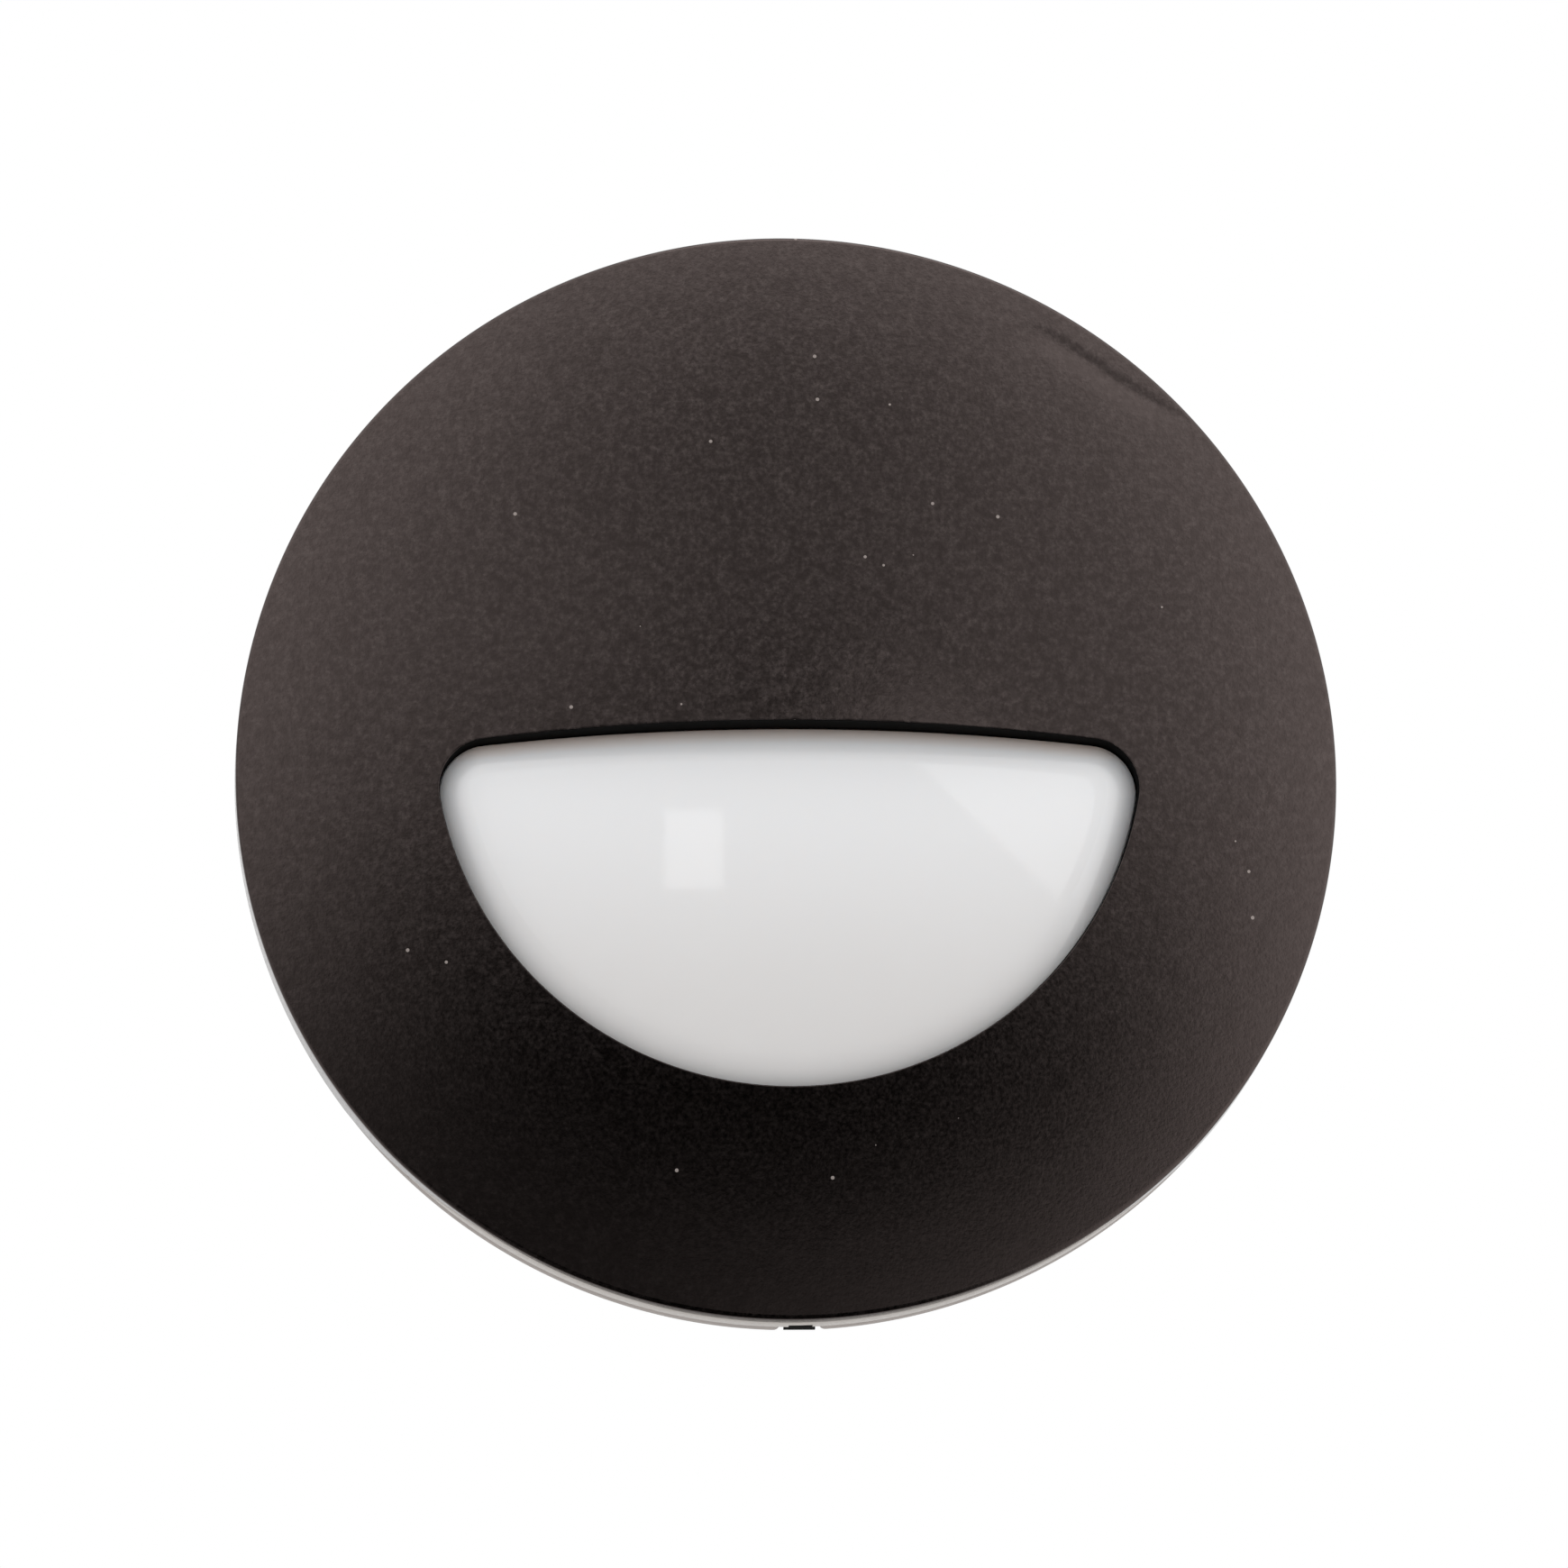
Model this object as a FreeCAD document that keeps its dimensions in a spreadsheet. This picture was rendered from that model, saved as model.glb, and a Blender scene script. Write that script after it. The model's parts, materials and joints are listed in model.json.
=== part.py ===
import FreeCAD, Part
import Sketcher
import math
import os
from types import SimpleNamespace

# Recessed eyelid wall light. X is right, Y runs into the wall, Z is up. The origin is on the axis of
# the light, in the plane of the wall. Lengths are millimetres and angles degrees. "front" and "back"
# sizes are distances along Y: negative in front of the wall, positive inside it.
SIZES = {
    # Clearances shared by the whole light
    "moulding_gap": 0.3,
    "running_gap": 0.06,
    "press_gap": 0.02,
    "overrun": 2.0,
    # Face cover
    "face_radius": 40.0,
    "rim_depth": 4.2,
    "dome_height": 5.3,
    "cover_wall": 1.6,
    "skirt_wall": 1.4,
    "skirt_setback": 0.3,
    "rim_round": 0.5,
    "lip_round": 0.12,
    "collar_wall": 1.1,
    # Eyelid opening in the face
    "eyelid_radius_share": 0.6425,
    "eyelid_centre_up_share": 0.06,
    "eyelid_top_up_share": 0.08375,
    "eyelid_top_radius_share": 5.625,
    "eyelid_corner_share": 0.09,
    # Relief in the skirt that shows the casting under the face
    "relief_land": 0.3,
    "relief_roof_half_share": 0.56,
    "relief_back_half_share": 0.82,
    "key_flush": 0.05,
    "key_roof_gap": 0.1,
    # Snap pegs of the cover
    "peg_radius": 1.6,
    "peg_low_down_share": 0.6475,
    "peg_side_out_share": 0.4375,
    "peg_side_up_share": 0.45,
    "peg_back": 5.0,
    "peg_ring_groove": 0.25,
    "peg_ring_width": 1.2,
    # Diffuser lens
    "lens_plate_radius_share": 0.72,
    "lens_plate": 1.2,
    "lens_plate_front": -4.6,
    "lens_edge_gap": 0.15,
    "lens_rise": 3.3,
    "lens_dome_radius_share": 8.125,
    "lens_shoulder": 1.0,
    "lens_wall": 1.8,
    "lens_gasket": 1.0,
    "lens_gasket_width": 1.2,
    # Screws of the lens plate
    "lens_screw_out_share": 0.3,
    "lens_screw_up_share": 0.3,
    "lens_screw_top_up_share": 0.55,
    "lens_boss_radius": 2.3,
    # Small screws
    "screw_radius": 0.9,
    "screw_head_radius": 1.75,
    "screw_head": 0.9,
    "screw_length": 4.0,
    "screw_slot": 0.5,
    "screw_slot_depth": 0.4,
    # Housing casting
    "wall_gasket": 1.6,
    "wall_gasket_inner_share": 0.775,
    "register_radius_share": 0.77,
    "register_back": -0.4,
    "neck_radius_share": 0.75,
    "neck_back": 11.0,
    "cup_radius_share": 0.6725,
    "web": 2.5,
    "boss_radius": 3.2,
    "boss_front": -1.0,
    "barrel_radius_share": 0.6375,
    "barrel_flat_inset": 2.8,
    "driver_room": 13.5,
    "chamber_radius_share": 0.5125,
    "notch_width": 2.8,
    "notch_depth_share": 0.4,
    # Cooling fins
    "fin_thick": 1.2,
    "fin_tip_radius_share": 0.7125,
    "fin_front_gap": 1.5,
    "fin_back_gap": 1.0,
    "fin_step_angle": 12.0,
    # Spring clips
    "pivot_inset": 4.7,
    "pivot_behind_neck": 7.2,
    "clip_rest_angle": 30.0,
    "clip_steel": 0.8,
    "clip_cheek": 1.0,
    "clip_half_width": 5.9,
    "clip_plate_offset": 2.75,
    "clip_eye": 2.4,
    "clip_cheek_length": 9.0,
    "clip_cheek_edge": 1.9,
    "clip_plate_start": 3.2,
    "clip_length": 16.2,
    "lug_thick": 2.0,
    "pin_radius": 1.0,
    "pin_head_radius": 1.7,
    "pin_head": 0.8,
    "sleeve_wall": 0.6,
    "sleeve_start": 9.8,
    # Torsion springs of the clips
    "wire_radius": 0.4,
    "coil_radius": 2.2,
    "coil_height": 7.0,
    "coil_turns": 5,
    "leg_on_barrel": 6.0,
    "leg_on_arm": 8.0,
    # Reflector
    "reflector_radius_share": 0.665,
    "reflector_wall": 1.0,
    "reflector_inset_share": 0.0675,
    "reflector_throat_inset_share": 0.2675,
    "reflector_gap": 0.2,
    # LED board and its leads
    "led_board_radius_share": 0.5325,
    "board_thick": 1.6,
    "thermal_pad_radius_share": 0.5125,
    "thermal_pad": 0.5,
    "board_screw_circle_share": 0.48,
    "chip_circle_share": 0.225,
    "chip_wide_share": 0.07,
    "chip_tall_share": 0.0875,
    "chip_thick": 0.7,
    "chip_step_angle": 30.0,
    "lead_radius": 0.55,
    "lead_bend": 1.2,
    "lead_from_standoff": 5.0,
    "lead_out": 0.9,
    "lead_pad_out": 3.9,
    "lead_loop": 2.0,
    "lead_hole": 2.2,
    # Driver
    "insulator_radius_share": 0.505,
    "insulator": 0.3,
    "driver_board_radius_share": 0.495,
    "standoff_height": 3.5,
    "standoff_circle_share": 0.425,
    "standoff_radius": 2.3,
    "part_out_share": 0.2,
    "part_up_share": 0.25,
    "capacitor_radius": 4.0,
    "capacitor_length": 9.0,
    "capacitor_crimp": 1.0,
    "capacitor_crimp_depth": 0.3,
    "inductor_radius": 4.5,
    "inductor_length": 6.0,
    "inductor_waist": 1.5,
    "inductor_cheek": 1.0,
    "flat_part_out_share": 0.275,
    "flat_part_down_share": 0.0625,
    "rectifier_side": 5.0,
    "rectifier_height": 2.4,
    "driver_chip_wide": 3.9,
    "driver_chip_tall": 4.9,
    "driver_chip_height": 1.5,
    "fuse_radius": 1.4,
    "fuse_length": 7.0,
    "fuse_up_share": 0.075,
    "fuse_cap": 1.4,
    "fuse_cap_wall": 0.2,
    # Terminal block
    "terminal_wide": 10.5,
    "terminal_tall": 8.0,
    "terminal_depth": 7.0,
    "terminal_way": 5.0,
    "wire_way_radius": 1.5,
    "wire_way_depth": 5.0,
    "terminal_screw_radius": 1.5,
    "terminal_screw_length": 1.8,
    # Rear cap
    "cap_plate": 2.5,
    "spigot_radius_share": 0.5075,
    "spigot_wall": 2.8,
    "spigot": 2.4,
    "seal_groove_depth": 1.3,
    "seal_groove_ahead": 1.8,
    "seal_groove_width": 1.6,
    "seal_radius": 0.72,
    "cap_screw_circle_share": 0.575,
    "cap_screw_length": 8.0,
    # Cable gland
    "gland_reach": 9.5,
    "gland_thread_radius": 5.9,
    "gland_flats": 15.0,
    "gland_tail": 5.0,
    "locknut": 2.3,
    "gland_washer": 1.0,
    "gland_washer_radius": 7.5,
    "gland_collar": 3.5,
    "gland_upper_radius": 5.3,
    "gland_upper": 5.0,
    "gland_seat_depth": 2.5,
    "gland_nut": 8.0,
    "gland_nut_hex": 4.5,
    "gland_nut_mouth": 3.4,
    "gland_dome_round": 2.2,
    "gland_seal_radius": 4.2,
    "cable_radius": 2.75,
    "gland_seal": 8.0,
}
FINS_EACH_SIDE = 4
LED_COUNT = 7

doc = FreeCAD.newDocument("eyelid_wall_light")
nodes = []


class Size:
    """A length or angle with the formula that ties it to the sheet of sizes."""

    def __init__(self, value, formula=None):
        self.value = float(value)
        self.formula = formula or repr(float(value))

    def __float__(self):
        return self.value

    def __add__(self, other):
        other = sized(other)
        return Size(self.value + other.value, f"({self.formula} + {other.formula})")

    def __sub__(self, other):
        other = sized(other)
        return Size(self.value - other.value, f"({self.formula} - {other.formula})")

    def __mul__(self, other):
        other = sized(other)
        return Size(self.value * other.value, f"({self.formula} * {other.formula})")

    def __truediv__(self, other):
        other = sized(other)
        return Size(self.value / other.value, f"({self.formula} / {other.formula})")

    def __neg__(self):
        return sized(0) - self

    def __rsub__(self, other):
        return sized(other) - self

    __radd__ = __add__
    __rmul__ = __mul__


def sized(value):
    return value if isinstance(value, Size) else Size(value)


def root(size):
    return Size(math.sqrt(size.value), f"sqrt({size.formula})")


def cosine(angle):
    return Size(math.cos(math.radians(angle.value)), f"cos({angle.formula})")


def sine(angle):
    return Size(math.sin(math.radians(angle.value)), f"sin({angle.formula})")


def write_sheet():
    """Put every driving size into the sheet, one named cell each."""
    sheet = doc.addObject("Spreadsheet::Sheet", "Sizes")
    for row, (name, value) in enumerate(SIZES.items(), start=1):
        sheet.set(f"A{row}", name)
        sheet.set(f"B{row}", str(value))
        sheet.setAlias(f"B{row}", name)
    doc.recompute()
    return SimpleNamespace(**{name: Size(value, f"Sizes.{name}") for name, value in SIZES.items()})


s = write_sheet()

# Radial sizes and places that keep their share of the face's radius
for name in SIZES:
    if name.endswith("_share") and name != "notch_depth_share":
        setattr(s, name.removesuffix("_share"), s.face_radius * getattr(s, name))

# Sizes that follow a neighbour's size at a named distance
s.flange_edge_radius = s.face_radius - s.skirt_wall - s.moulding_gap
s.lead_up = s.standoff_circle - s.lead_from_standoff
s.pivot_out = s.neck_radius - s.pivot_inset
s.barrel_flat = s.pivot_out - s.barrel_flat_inset
s.seal_groove_radius = s.spigot_radius - s.seal_groove_depth
s.gland_down = s.spigot_radius - s.spigot_wall - s.gland_reach
s.cup_floor = s.neck_back - s.web
s.pivot_back = s.neck_back + s.pivot_behind_neck
s.driver_board_front = s.neck_back + s.standoff_height
s.barrel_back = s.driver_board_front + s.driver_room
s.fin_front = s.neck_back + s.fin_front_gap
s.fin_back = s.barrel_back - s.fin_back_gap
s.spigot_front = s.barrel_back - s.spigot
s.seal_groove_front = s.barrel_back - s.seal_groove_ahead

# Planes and spheres that several pieces share
crown_front = -(s.rim_depth + s.dome_height)
dome_radius = (s.face_radius * s.face_radius + s.dome_height * s.dome_height) / (s.dome_height * 2)
dome_centre = crown_front + dome_radius
inner_dome_radius = dome_radius - s.cover_wall
skirt_inner = s.face_radius - s.skirt_wall
relief_roof = s.relief_land - s.rim_depth
key_outer = s.face_radius - s.key_flush
flange_back = -s.wall_gasket
lens_plate_back = s.lens_plate_front + s.lens_plate
lens_gasket_back = lens_plate_back + s.lens_gasket
lens_recess = s.lens_plate_radius + s.moulding_gap
thermal_pad_front = s.cup_floor - s.thermal_pad
led_board_front = thermal_pad_front - s.board_thick
reflector_back = led_board_front - s.reflector_gap
driver_board_back = s.driver_board_front + s.board_thick
cap_back = s.barrel_back + s.cap_plate
gland_washer_back = cap_back + s.gland_washer
gland_collar_back = gland_washer_back + s.gland_collar
gland_upper_back = gland_collar_back + s.gland_upper
gland_nut_back = gland_collar_back + s.gland_nut
lug_inner = s.clip_half_width + s.moulding_gap
lug_outer = lug_inner + s.lug_thick
peg_places = (
    (sized(0), -s.peg_low_down),
    (s.peg_side_out, s.peg_side_up),
    (-s.peg_side_out, s.peg_side_up),
)
lens_screw_places = (
    (-s.lens_screw_out, s.lens_screw_up),
    (s.lens_screw_out, s.lens_screw_up),
    (sized(0), s.lens_screw_top_up),
)
INTO_WALL = FreeCAD.Rotation(FreeCAD.Vector(1, 0, 0), -90)
TURNED_OVER = FreeCAD.Rotation(FreeCAD.Vector(0, 1, 0), 180)


def make(kind, name, **sizes):
    """Add an object and tie each of its sizes to the sheet."""
    thing = doc.addObject(kind, name)
    for key, size in sizes.items():
        thing.setExpression(key, sized(size).formula)
    return thing


def place(thing, x=0, y=0, z=0, turn=None):
    thing.Placement = FreeCAD.Placement(FreeCAD.Vector(), turn or FreeCAD.Rotation())
    for axis, size in (("x", x), ("y", y), ("z", z)):
        thing.setExpression(f"Placement.Base.{axis}", sized(size).formula)
    return thing


def rod(name, radius, front, back, x=0, z=0):
    """Round bar along Y."""
    return place(make("Part::Cylinder", name, Radius=radius, Height=back - front), x, front, z, INTO_WALL)


def block(name, left, right, front, back, low, high):
    """Straight block between three pairs of planes."""
    sides = {"Length": right - left, "Width": back - front, "Height": high - low}
    return place(make("Part::Box", name, **sides), left, front, low)


def ball(name, radius, y):
    return place(make("Part::Sphere", name, Radius=radius), 0, y, 0)


def fuse(name, *things):
    thing = doc.addObject("Part::MultiFuse", name)
    thing.Shapes = list(things)
    thing.Refine = True
    return thing


def common(name, *things):
    thing = doc.addObject("Part::MultiCommon", name)
    thing.Shapes = list(things)
    thing.Refine = True
    return thing


def cut(name, base, *tools):
    thing = doc.addObject("Part::Cut", name)
    thing.Base = base
    thing.Tool = tools[0] if len(tools) == 1 else fuse(name + "_tools", *tools)
    thing.Refine = True
    return thing


def group(name, things):
    thing = doc.addObject("Part::Compound", name)
    thing.Links = list(things)
    return thing


def ring(name, outer, inner, front, back, x=0, z=0):
    """Flat ring or tube along Y."""
    hole = rod(name + "_hole", inner, front - s.overrun, back + s.overrun, x, z)
    return cut(name, rod(name + "_disc", outer, front, back, x, z), hole)


def rounded(name, base, radius, wanted):
    """Round the edges of a piece that pass a test."""
    doc.recompute()
    thing = doc.addObject("Part::Fillet", name)
    thing.Base = base
    edges = enumerate(base.Shape.Edges, start=1)
    thing.Edges = [(number, radius.value, radius.value) for number, edge in edges if wanted(edge)]
    return thing


def node(name, thing):
    """Name a finished sub-part."""
    thing.Label = name
    nodes.append(thing)
    return thing


def new_body(name):
    return doc.addObject("PartDesign::Body", name)


def sketch_on(body, role, name, offset=0):
    sketch = body.newObject("Sketcher::SketchObject", name)
    plane = next(feature for feature in body.Origin.OriginFeatures if feature.Role == role)
    sketch.AttachmentSupport = [(plane, "")]
    sketch.MapMode = "FlatFace"
    sketch.setExpression("AttachmentOffset.Base.z", sized(offset).formula)
    return sketch


def fix(sketch, kind, *where, size):
    """Constrain a sketch with a size from the sheet."""
    index = sketch.addConstraint(Sketcher.Constraint(kind, *where, size.value))
    sketch.setExpression(f"Constraints[{index}]", size.formula)


def arc_between(start, end, radius, side):
    """Arc of less than a half turn; side is 1 where its centre is left of the way from start to end."""
    way = end - start
    half = way.Length / 2
    across = FreeCAD.Vector(-way.y, way.x, 0).normalize()
    centre = (start + end) / 2 + across * side * math.sqrt(max(radius ** 2 - half ** 2, 0))
    circle = Part.Circle(centre, FreeCAD.Vector(0, 0, 1), radius)
    ends = (start, end) if side > 0 else (end, start)
    return Part.ArcOfCircle(circle, *(circle.parameter(point) for point in ends))


def draw(sketch, corners, arcs=None):
    """Closed outline through corners; arcs gives (radius, side) for the run after a corner."""
    arcs = arcs or {}
    points = [FreeCAD.Vector(sized(x).value, sized(y).value, 0) for x, y in corners]
    ends = []
    for index, start in enumerate(points):
        end = points[(index + 1) % len(points)]
        if index in arcs:
            radius, side = arcs[index]
            number = sketch.addGeometry(arc_between(start, end, radius.value, side))
            ends.append((number, 1, 2) if side > 0 else (number, 2, 1))
        else:
            ends.append((sketch.addGeometry(Part.LineSegment(start, end)), 1, 2))
    for index, (x, y) in enumerate(corners):
        number, first, last = ends[index]
        following, following_first, _ = ends[(index + 1) % len(ends)]
        sketch.addConstraint(Sketcher.Constraint("Coincident", number, last, following, following_first))
        fix(sketch, "DistanceX", -1, 1, number, first, size=sized(x))
        fix(sketch, "DistanceY", -1, 1, number, first, size=sized(y))
        if index in arcs:
            fix(sketch, "Radius", number, size=arcs[index][0])


def revolve(body, name):
    """Turn the body's last sketch about Y, or about Z where the sketch stands in the XZ plane."""
    sketch = body.Group[-1]
    feature = body.newObject("PartDesign::Revolution", name)
    feature.Profile = sketch
    feature.ReferenceAxis = (sketch, ["V_Axis"])
    body.Tip = feature
    return feature


def turned(name, corners, arcs=None):
    """Round piece about the axis of the light, from its half section (radius, y)."""
    body = new_body(name)
    draw(sketch_on(body, "XY_Plane", name + "_section"), corners, arcs)
    revolve(body, name + "_turned")
    return body


def extrude(body, kind, name, length, both=False):
    """Pad or pocket of the body's last sketch, towards the front or to both sides."""
    sketch = body.Group[-1]
    feature = body.newObject(kind, name)
    feature.Profile = sketch
    feature.setExpression("Length", sized(length).formula)
    if both:
        feature.Midplane = True
    body.Tip = feature
    return feature


def hexagon(name, flats, front, back, x=0, z=0):
    prism = make("Part::Prism", name, Circumradius=flats / root(sized(3)), Height=back - front)
    prism.Polygon = 6
    return place(prism, x, front, z, INTO_WALL)


def dome_at(radius, sphere_radius):
    """Where a sphere about the dome's centre meets a cylinder of a radius."""
    return dome_centre - root(sphere_radius * sphere_radius - radius * radius)


def draw_eyelid(sketch, inset):
    """Eyelid outline moved inwards: a low round arc, a nearly flat brow and two small corners."""
    low_radius = s.eyelid_radius - inset
    top_radius = s.eyelid_top_radius - inset
    corner = s.eyelid_corner - inset
    top_centre = s.eyelid_top_up - s.eyelid_top_radius
    low_reach = s.eyelid_radius - s.eyelid_corner
    top_reach = s.eyelid_top_radius - s.eyelid_corner
    spread = s.eyelid_centre_up - top_centre
    rise = (top_reach * top_reach - low_reach * low_reach - spread * spread) / (spread * 2)
    corner_x = root(low_reach * low_reach - rise * rise)
    low_share = low_radius / low_reach
    top_share = top_radius / top_reach
    side_x = corner_x * low_share
    side_z = s.eyelid_centre_up + rise * low_share
    brow_x = corner_x * top_share
    brow_z = top_centre + (spread + rise) * top_share
    corners = [(side_x, side_z), (brow_x, brow_z), (-brow_x, brow_z), (-side_x, side_z)]
    low = low_radius.value
    low_centre = FreeCAD.Vector(0, s.eyelid_centre_up.value, 0)
    points = [FreeCAD.Vector(x.value, z.value, 0) for x, z in corners]
    arcs = [
        arc_between(points[0], points[1], corner.value, 1),
        arc_between(points[1], points[2], top_radius.value, 1),
        arc_between(points[2], points[3], corner.value, 1),
        Part.Arc(points[3], low_centre - FreeCAD.Vector(0, low, 0), points[0]),
    ]
    radii = (corner, top_radius, corner, low_radius)
    for index, (arc, radius, (x, z)) in enumerate(zip(arcs, radii, corners)):
        number = sketch.addGeometry(arc)
        fix(sketch, "Radius", number, size=radius)
        fix(sketch, "DistanceX", -1, 1, number, 1, size=x)
        fix(sketch, "DistanceY", -1, 1, number, 1, size=z)
    for index in range(len(arcs)):
        following = (index + 1) % len(arcs)
        sketch.addConstraint(Sketcher.Constraint("Coincident", index, 2, following, 1))


def eyelid(name, inset, front, back):
    """Straight prism with the eyelid outline."""
    body = new_body(name)
    draw_eyelid(sketch_on(body, "XZ_Plane", name + "_outline", -back), sized(inset))
    extrude(body, "PartDesign::Pad", name + "_prism", back - front)
    return body


def relief_wedge(name, back, roof, narrower):
    """Long wedge across the bottom of the skirt: its two ends slope outwards towards the wall."""
    slope = (s.relief_back_half - s.relief_roof_half) / (s.rim_depth - s.relief_land)
    roof_half = s.relief_roof_half + slope * (roof - relief_roof) - narrower
    back_half = s.relief_roof_half + slope * (back - relief_roof) - narrower
    body = new_body(name)
    corners = [(-roof_half, roof), (roof_half, roof), (back_half, back), (-back_half, back)]
    draw(sketch_on(body, "XY_Plane", name + "_outline"), corners)
    feature = extrude(body, "PartDesign::Pad", name + "_wedge", s.face_radius + s.overrun)
    feature.Reversed = True
    return body


def pan_screw(name, x, z, seat, way, length=None):
    """Small slotted screw; way is 1 where its point goes into the wall and -1 where it comes forwards."""
    length = length or s.screw_length
    tip = seat + length * way
    top = seat - s.screw_head * way
    floor = top + s.screw_slot_depth * way
    shank = rod(name + "_shank", s.screw_radius, min(seat, tip, key=float), max(seat, tip, key=float), x, z)
    head = rod(name + "_head", s.screw_head_radius, min(seat, top, key=float), max(seat, top, key=float), x, z)
    outer = top - s.overrun * way
    front = min(floor, outer, key=float)
    back = max(floor, outer, key=float)
    half_slot = s.screw_slot / 2
    reach = s.screw_head_radius + s.overrun
    slot = block(name + "_slot", x - reach, x + reach, front, back, z - half_slot, z + half_slot)
    return cut(name, fuse(name + "_blank", shank, head), slot)


def face_cover():
    """Domed face with its skirt, the eyelid opening and its collar, pegs, bosses and the relief."""
    hollow = skirt_inner
    skirt_back = -s.skirt_setback
    section = [
        (sized(0), crown_front),
        (s.face_radius, -s.rim_depth),
        (s.face_radius, skirt_back),
        (hollow, skirt_back),
        (hollow, dome_at(hollow, inner_dome_radius)),
        (sized(0), crown_front + s.cover_wall),
    ]
    shell = turned("cover_shell", section, {0: (dome_radius, 1), 4: (inner_dome_radius, -1)})
    mid_wall = ball("cover_mid_wall", dome_radius - s.cover_wall / 2, dome_centre)
    mid_block = block("cover_front_half", -s.face_radius, s.face_radius, crown_front, s.neck_back,
                      -s.face_radius, s.face_radius)
    bits = [eyelid("cover_collar", -s.collar_wall, crown_front, s.lens_plate_front)]
    cuts = [eyelid("cover_opening", 0, crown_front - s.overrun, s.peg_back)]
    for index, (x, z) in enumerate(peg_places):
        peg = rod(f"cover_peg_{index}", s.peg_radius, crown_front, s.peg_back, x, z)
        bits.append(peg)
        groove_back = s.peg_back - s.peg_ring_width
        groove = ring(f"cover_peg_groove_{index}", s.peg_radius + s.overrun, s.peg_radius - s.peg_ring_groove,
                      groove_back - s.peg_ring_width, groove_back, x, z)
        cuts.append(groove)
    for index, (x, z) in enumerate(lens_screw_places):
        bits.append(rod(f"cover_boss_{index}", s.lens_boss_radius, crown_front, s.lens_plate_front, x, z))
        pilot_front = lens_plate_back - s.screw_length - s.moulding_gap
        pilot_radius = s.screw_radius + s.press_gap
        cuts.append(rod(f"cover_pilot_{index}", pilot_radius, pilot_front, s.lens_plate_front + s.overrun, x, z))
    inside = common("cover_inside", fuse("cover_bits", *bits), common("cover_half_ball", mid_wall, mid_block))
    relief_ring = ring("cover_relief_ring", s.face_radius + s.overrun, s.flange_edge_radius - s.moulding_gap,
                       crown_front, s.neck_back)
    cuts.append(common("cover_relief", relief_wedge("cover_relief_wedge", sized(0), relief_roof, sized(0)),
                       relief_ring))
    whole = cut("cover_cut", fuse("cover_whole", shell, inside), *cuts)

    def at_rim(edge):
        box = edge.BoundBox
        flat = abs(box.YMax + s.rim_depth.value) < s.press_gap.value and box.YLength < s.press_gap.value
        return flat and edge.Length > s.face_radius.value

    def at_lip(edge):
        near = all(math.hypot(v.X, v.Z) < s.lens_plate_radius.value for v in edge.Vertexes)
        middle = FreeCAD.Vector(0, dome_centre.value, 0)
        reach = [(v.Point - middle).Length for v in edge.Vertexes]
        return near and all(abs(length - dome_radius.value) < s.press_gap.value for length in reach)

    soft_rim = rounded("cover_rounded", whole, s.rim_round, at_rim)
    return node("face_cover", rounded("cover_lip", soft_rim, s.lip_round, at_lip))


def diffuser_lens():
    """Opal plate with a raised eyelid window, hollow behind, with a round shoulder."""
    crown = s.lens_plate_front - s.lens_rise
    dome = ball("lens_dome", s.lens_dome_radius, crown + s.lens_dome_radius)
    window = common("lens_window", eyelid("lens_prism", s.lens_edge_gap, crown - s.overrun, lens_plate_back), dome)

    def on_front(edge):
        return edge.BoundBox.YMax < s.lens_plate_front.value and edge.Length > s.lens_wall.value

    soft = rounded("lens_soft", window, s.lens_shoulder, on_front)
    plate = rod("lens_plate_disc", s.lens_plate_radius, s.lens_plate_front, lens_plate_back)
    inner_dome = ball("lens_inner_dome", s.lens_dome_radius - s.lens_wall, crown + s.lens_dome_radius)
    hollow_prism = eyelid("lens_hollow_prism", s.lens_edge_gap + s.lens_wall, crown, lens_plate_back + s.overrun)
    cuts = [common("lens_hollow", hollow_prism, inner_dome)]
    through = (s.lens_plate_front - s.overrun, lens_plate_back + s.overrun)
    for index, (x, z) in enumerate(peg_places):
        cuts.append(rod(f"lens_peg_hole_{index}", s.peg_radius + s.moulding_gap, *through, x, z))
    for index, (x, z) in enumerate(lens_screw_places):
        cuts.append(rod(f"lens_screw_hole_{index}", s.screw_radius + s.running_gap, *through, x, z))
    return node("diffuser_lens", cut("lens_cut", fuse("lens_whole", plate, soft), *cuts))


def lens_screws():
    screws = [pan_screw(f"lens_screw_{index}", x, z, lens_plate_back, -1)
              for index, (x, z) in enumerate(lens_screw_places)]
    return node("lens_screws", group("lens_screw_set", screws))


def lens_gasket():
    inner = s.lens_plate_radius - s.lens_gasket_width
    piece = ring("lens_gasket_ring", s.lens_plate_radius, inner, lens_plate_back, lens_gasket_back)
    return node("lens_gasket", piece)


def bottom_key(name, front, back):
    """Sector under the skirt's relief, between the flange's edge and the face's radius."""
    outer_ring = ring(name + "_ring", key_outer, s.flange_edge_radius - s.moulding_gap, front, back)
    return common(name, relief_wedge(name + "_wedge", sized(0), relief_roof, s.moulding_gap), outer_ring)


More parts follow.
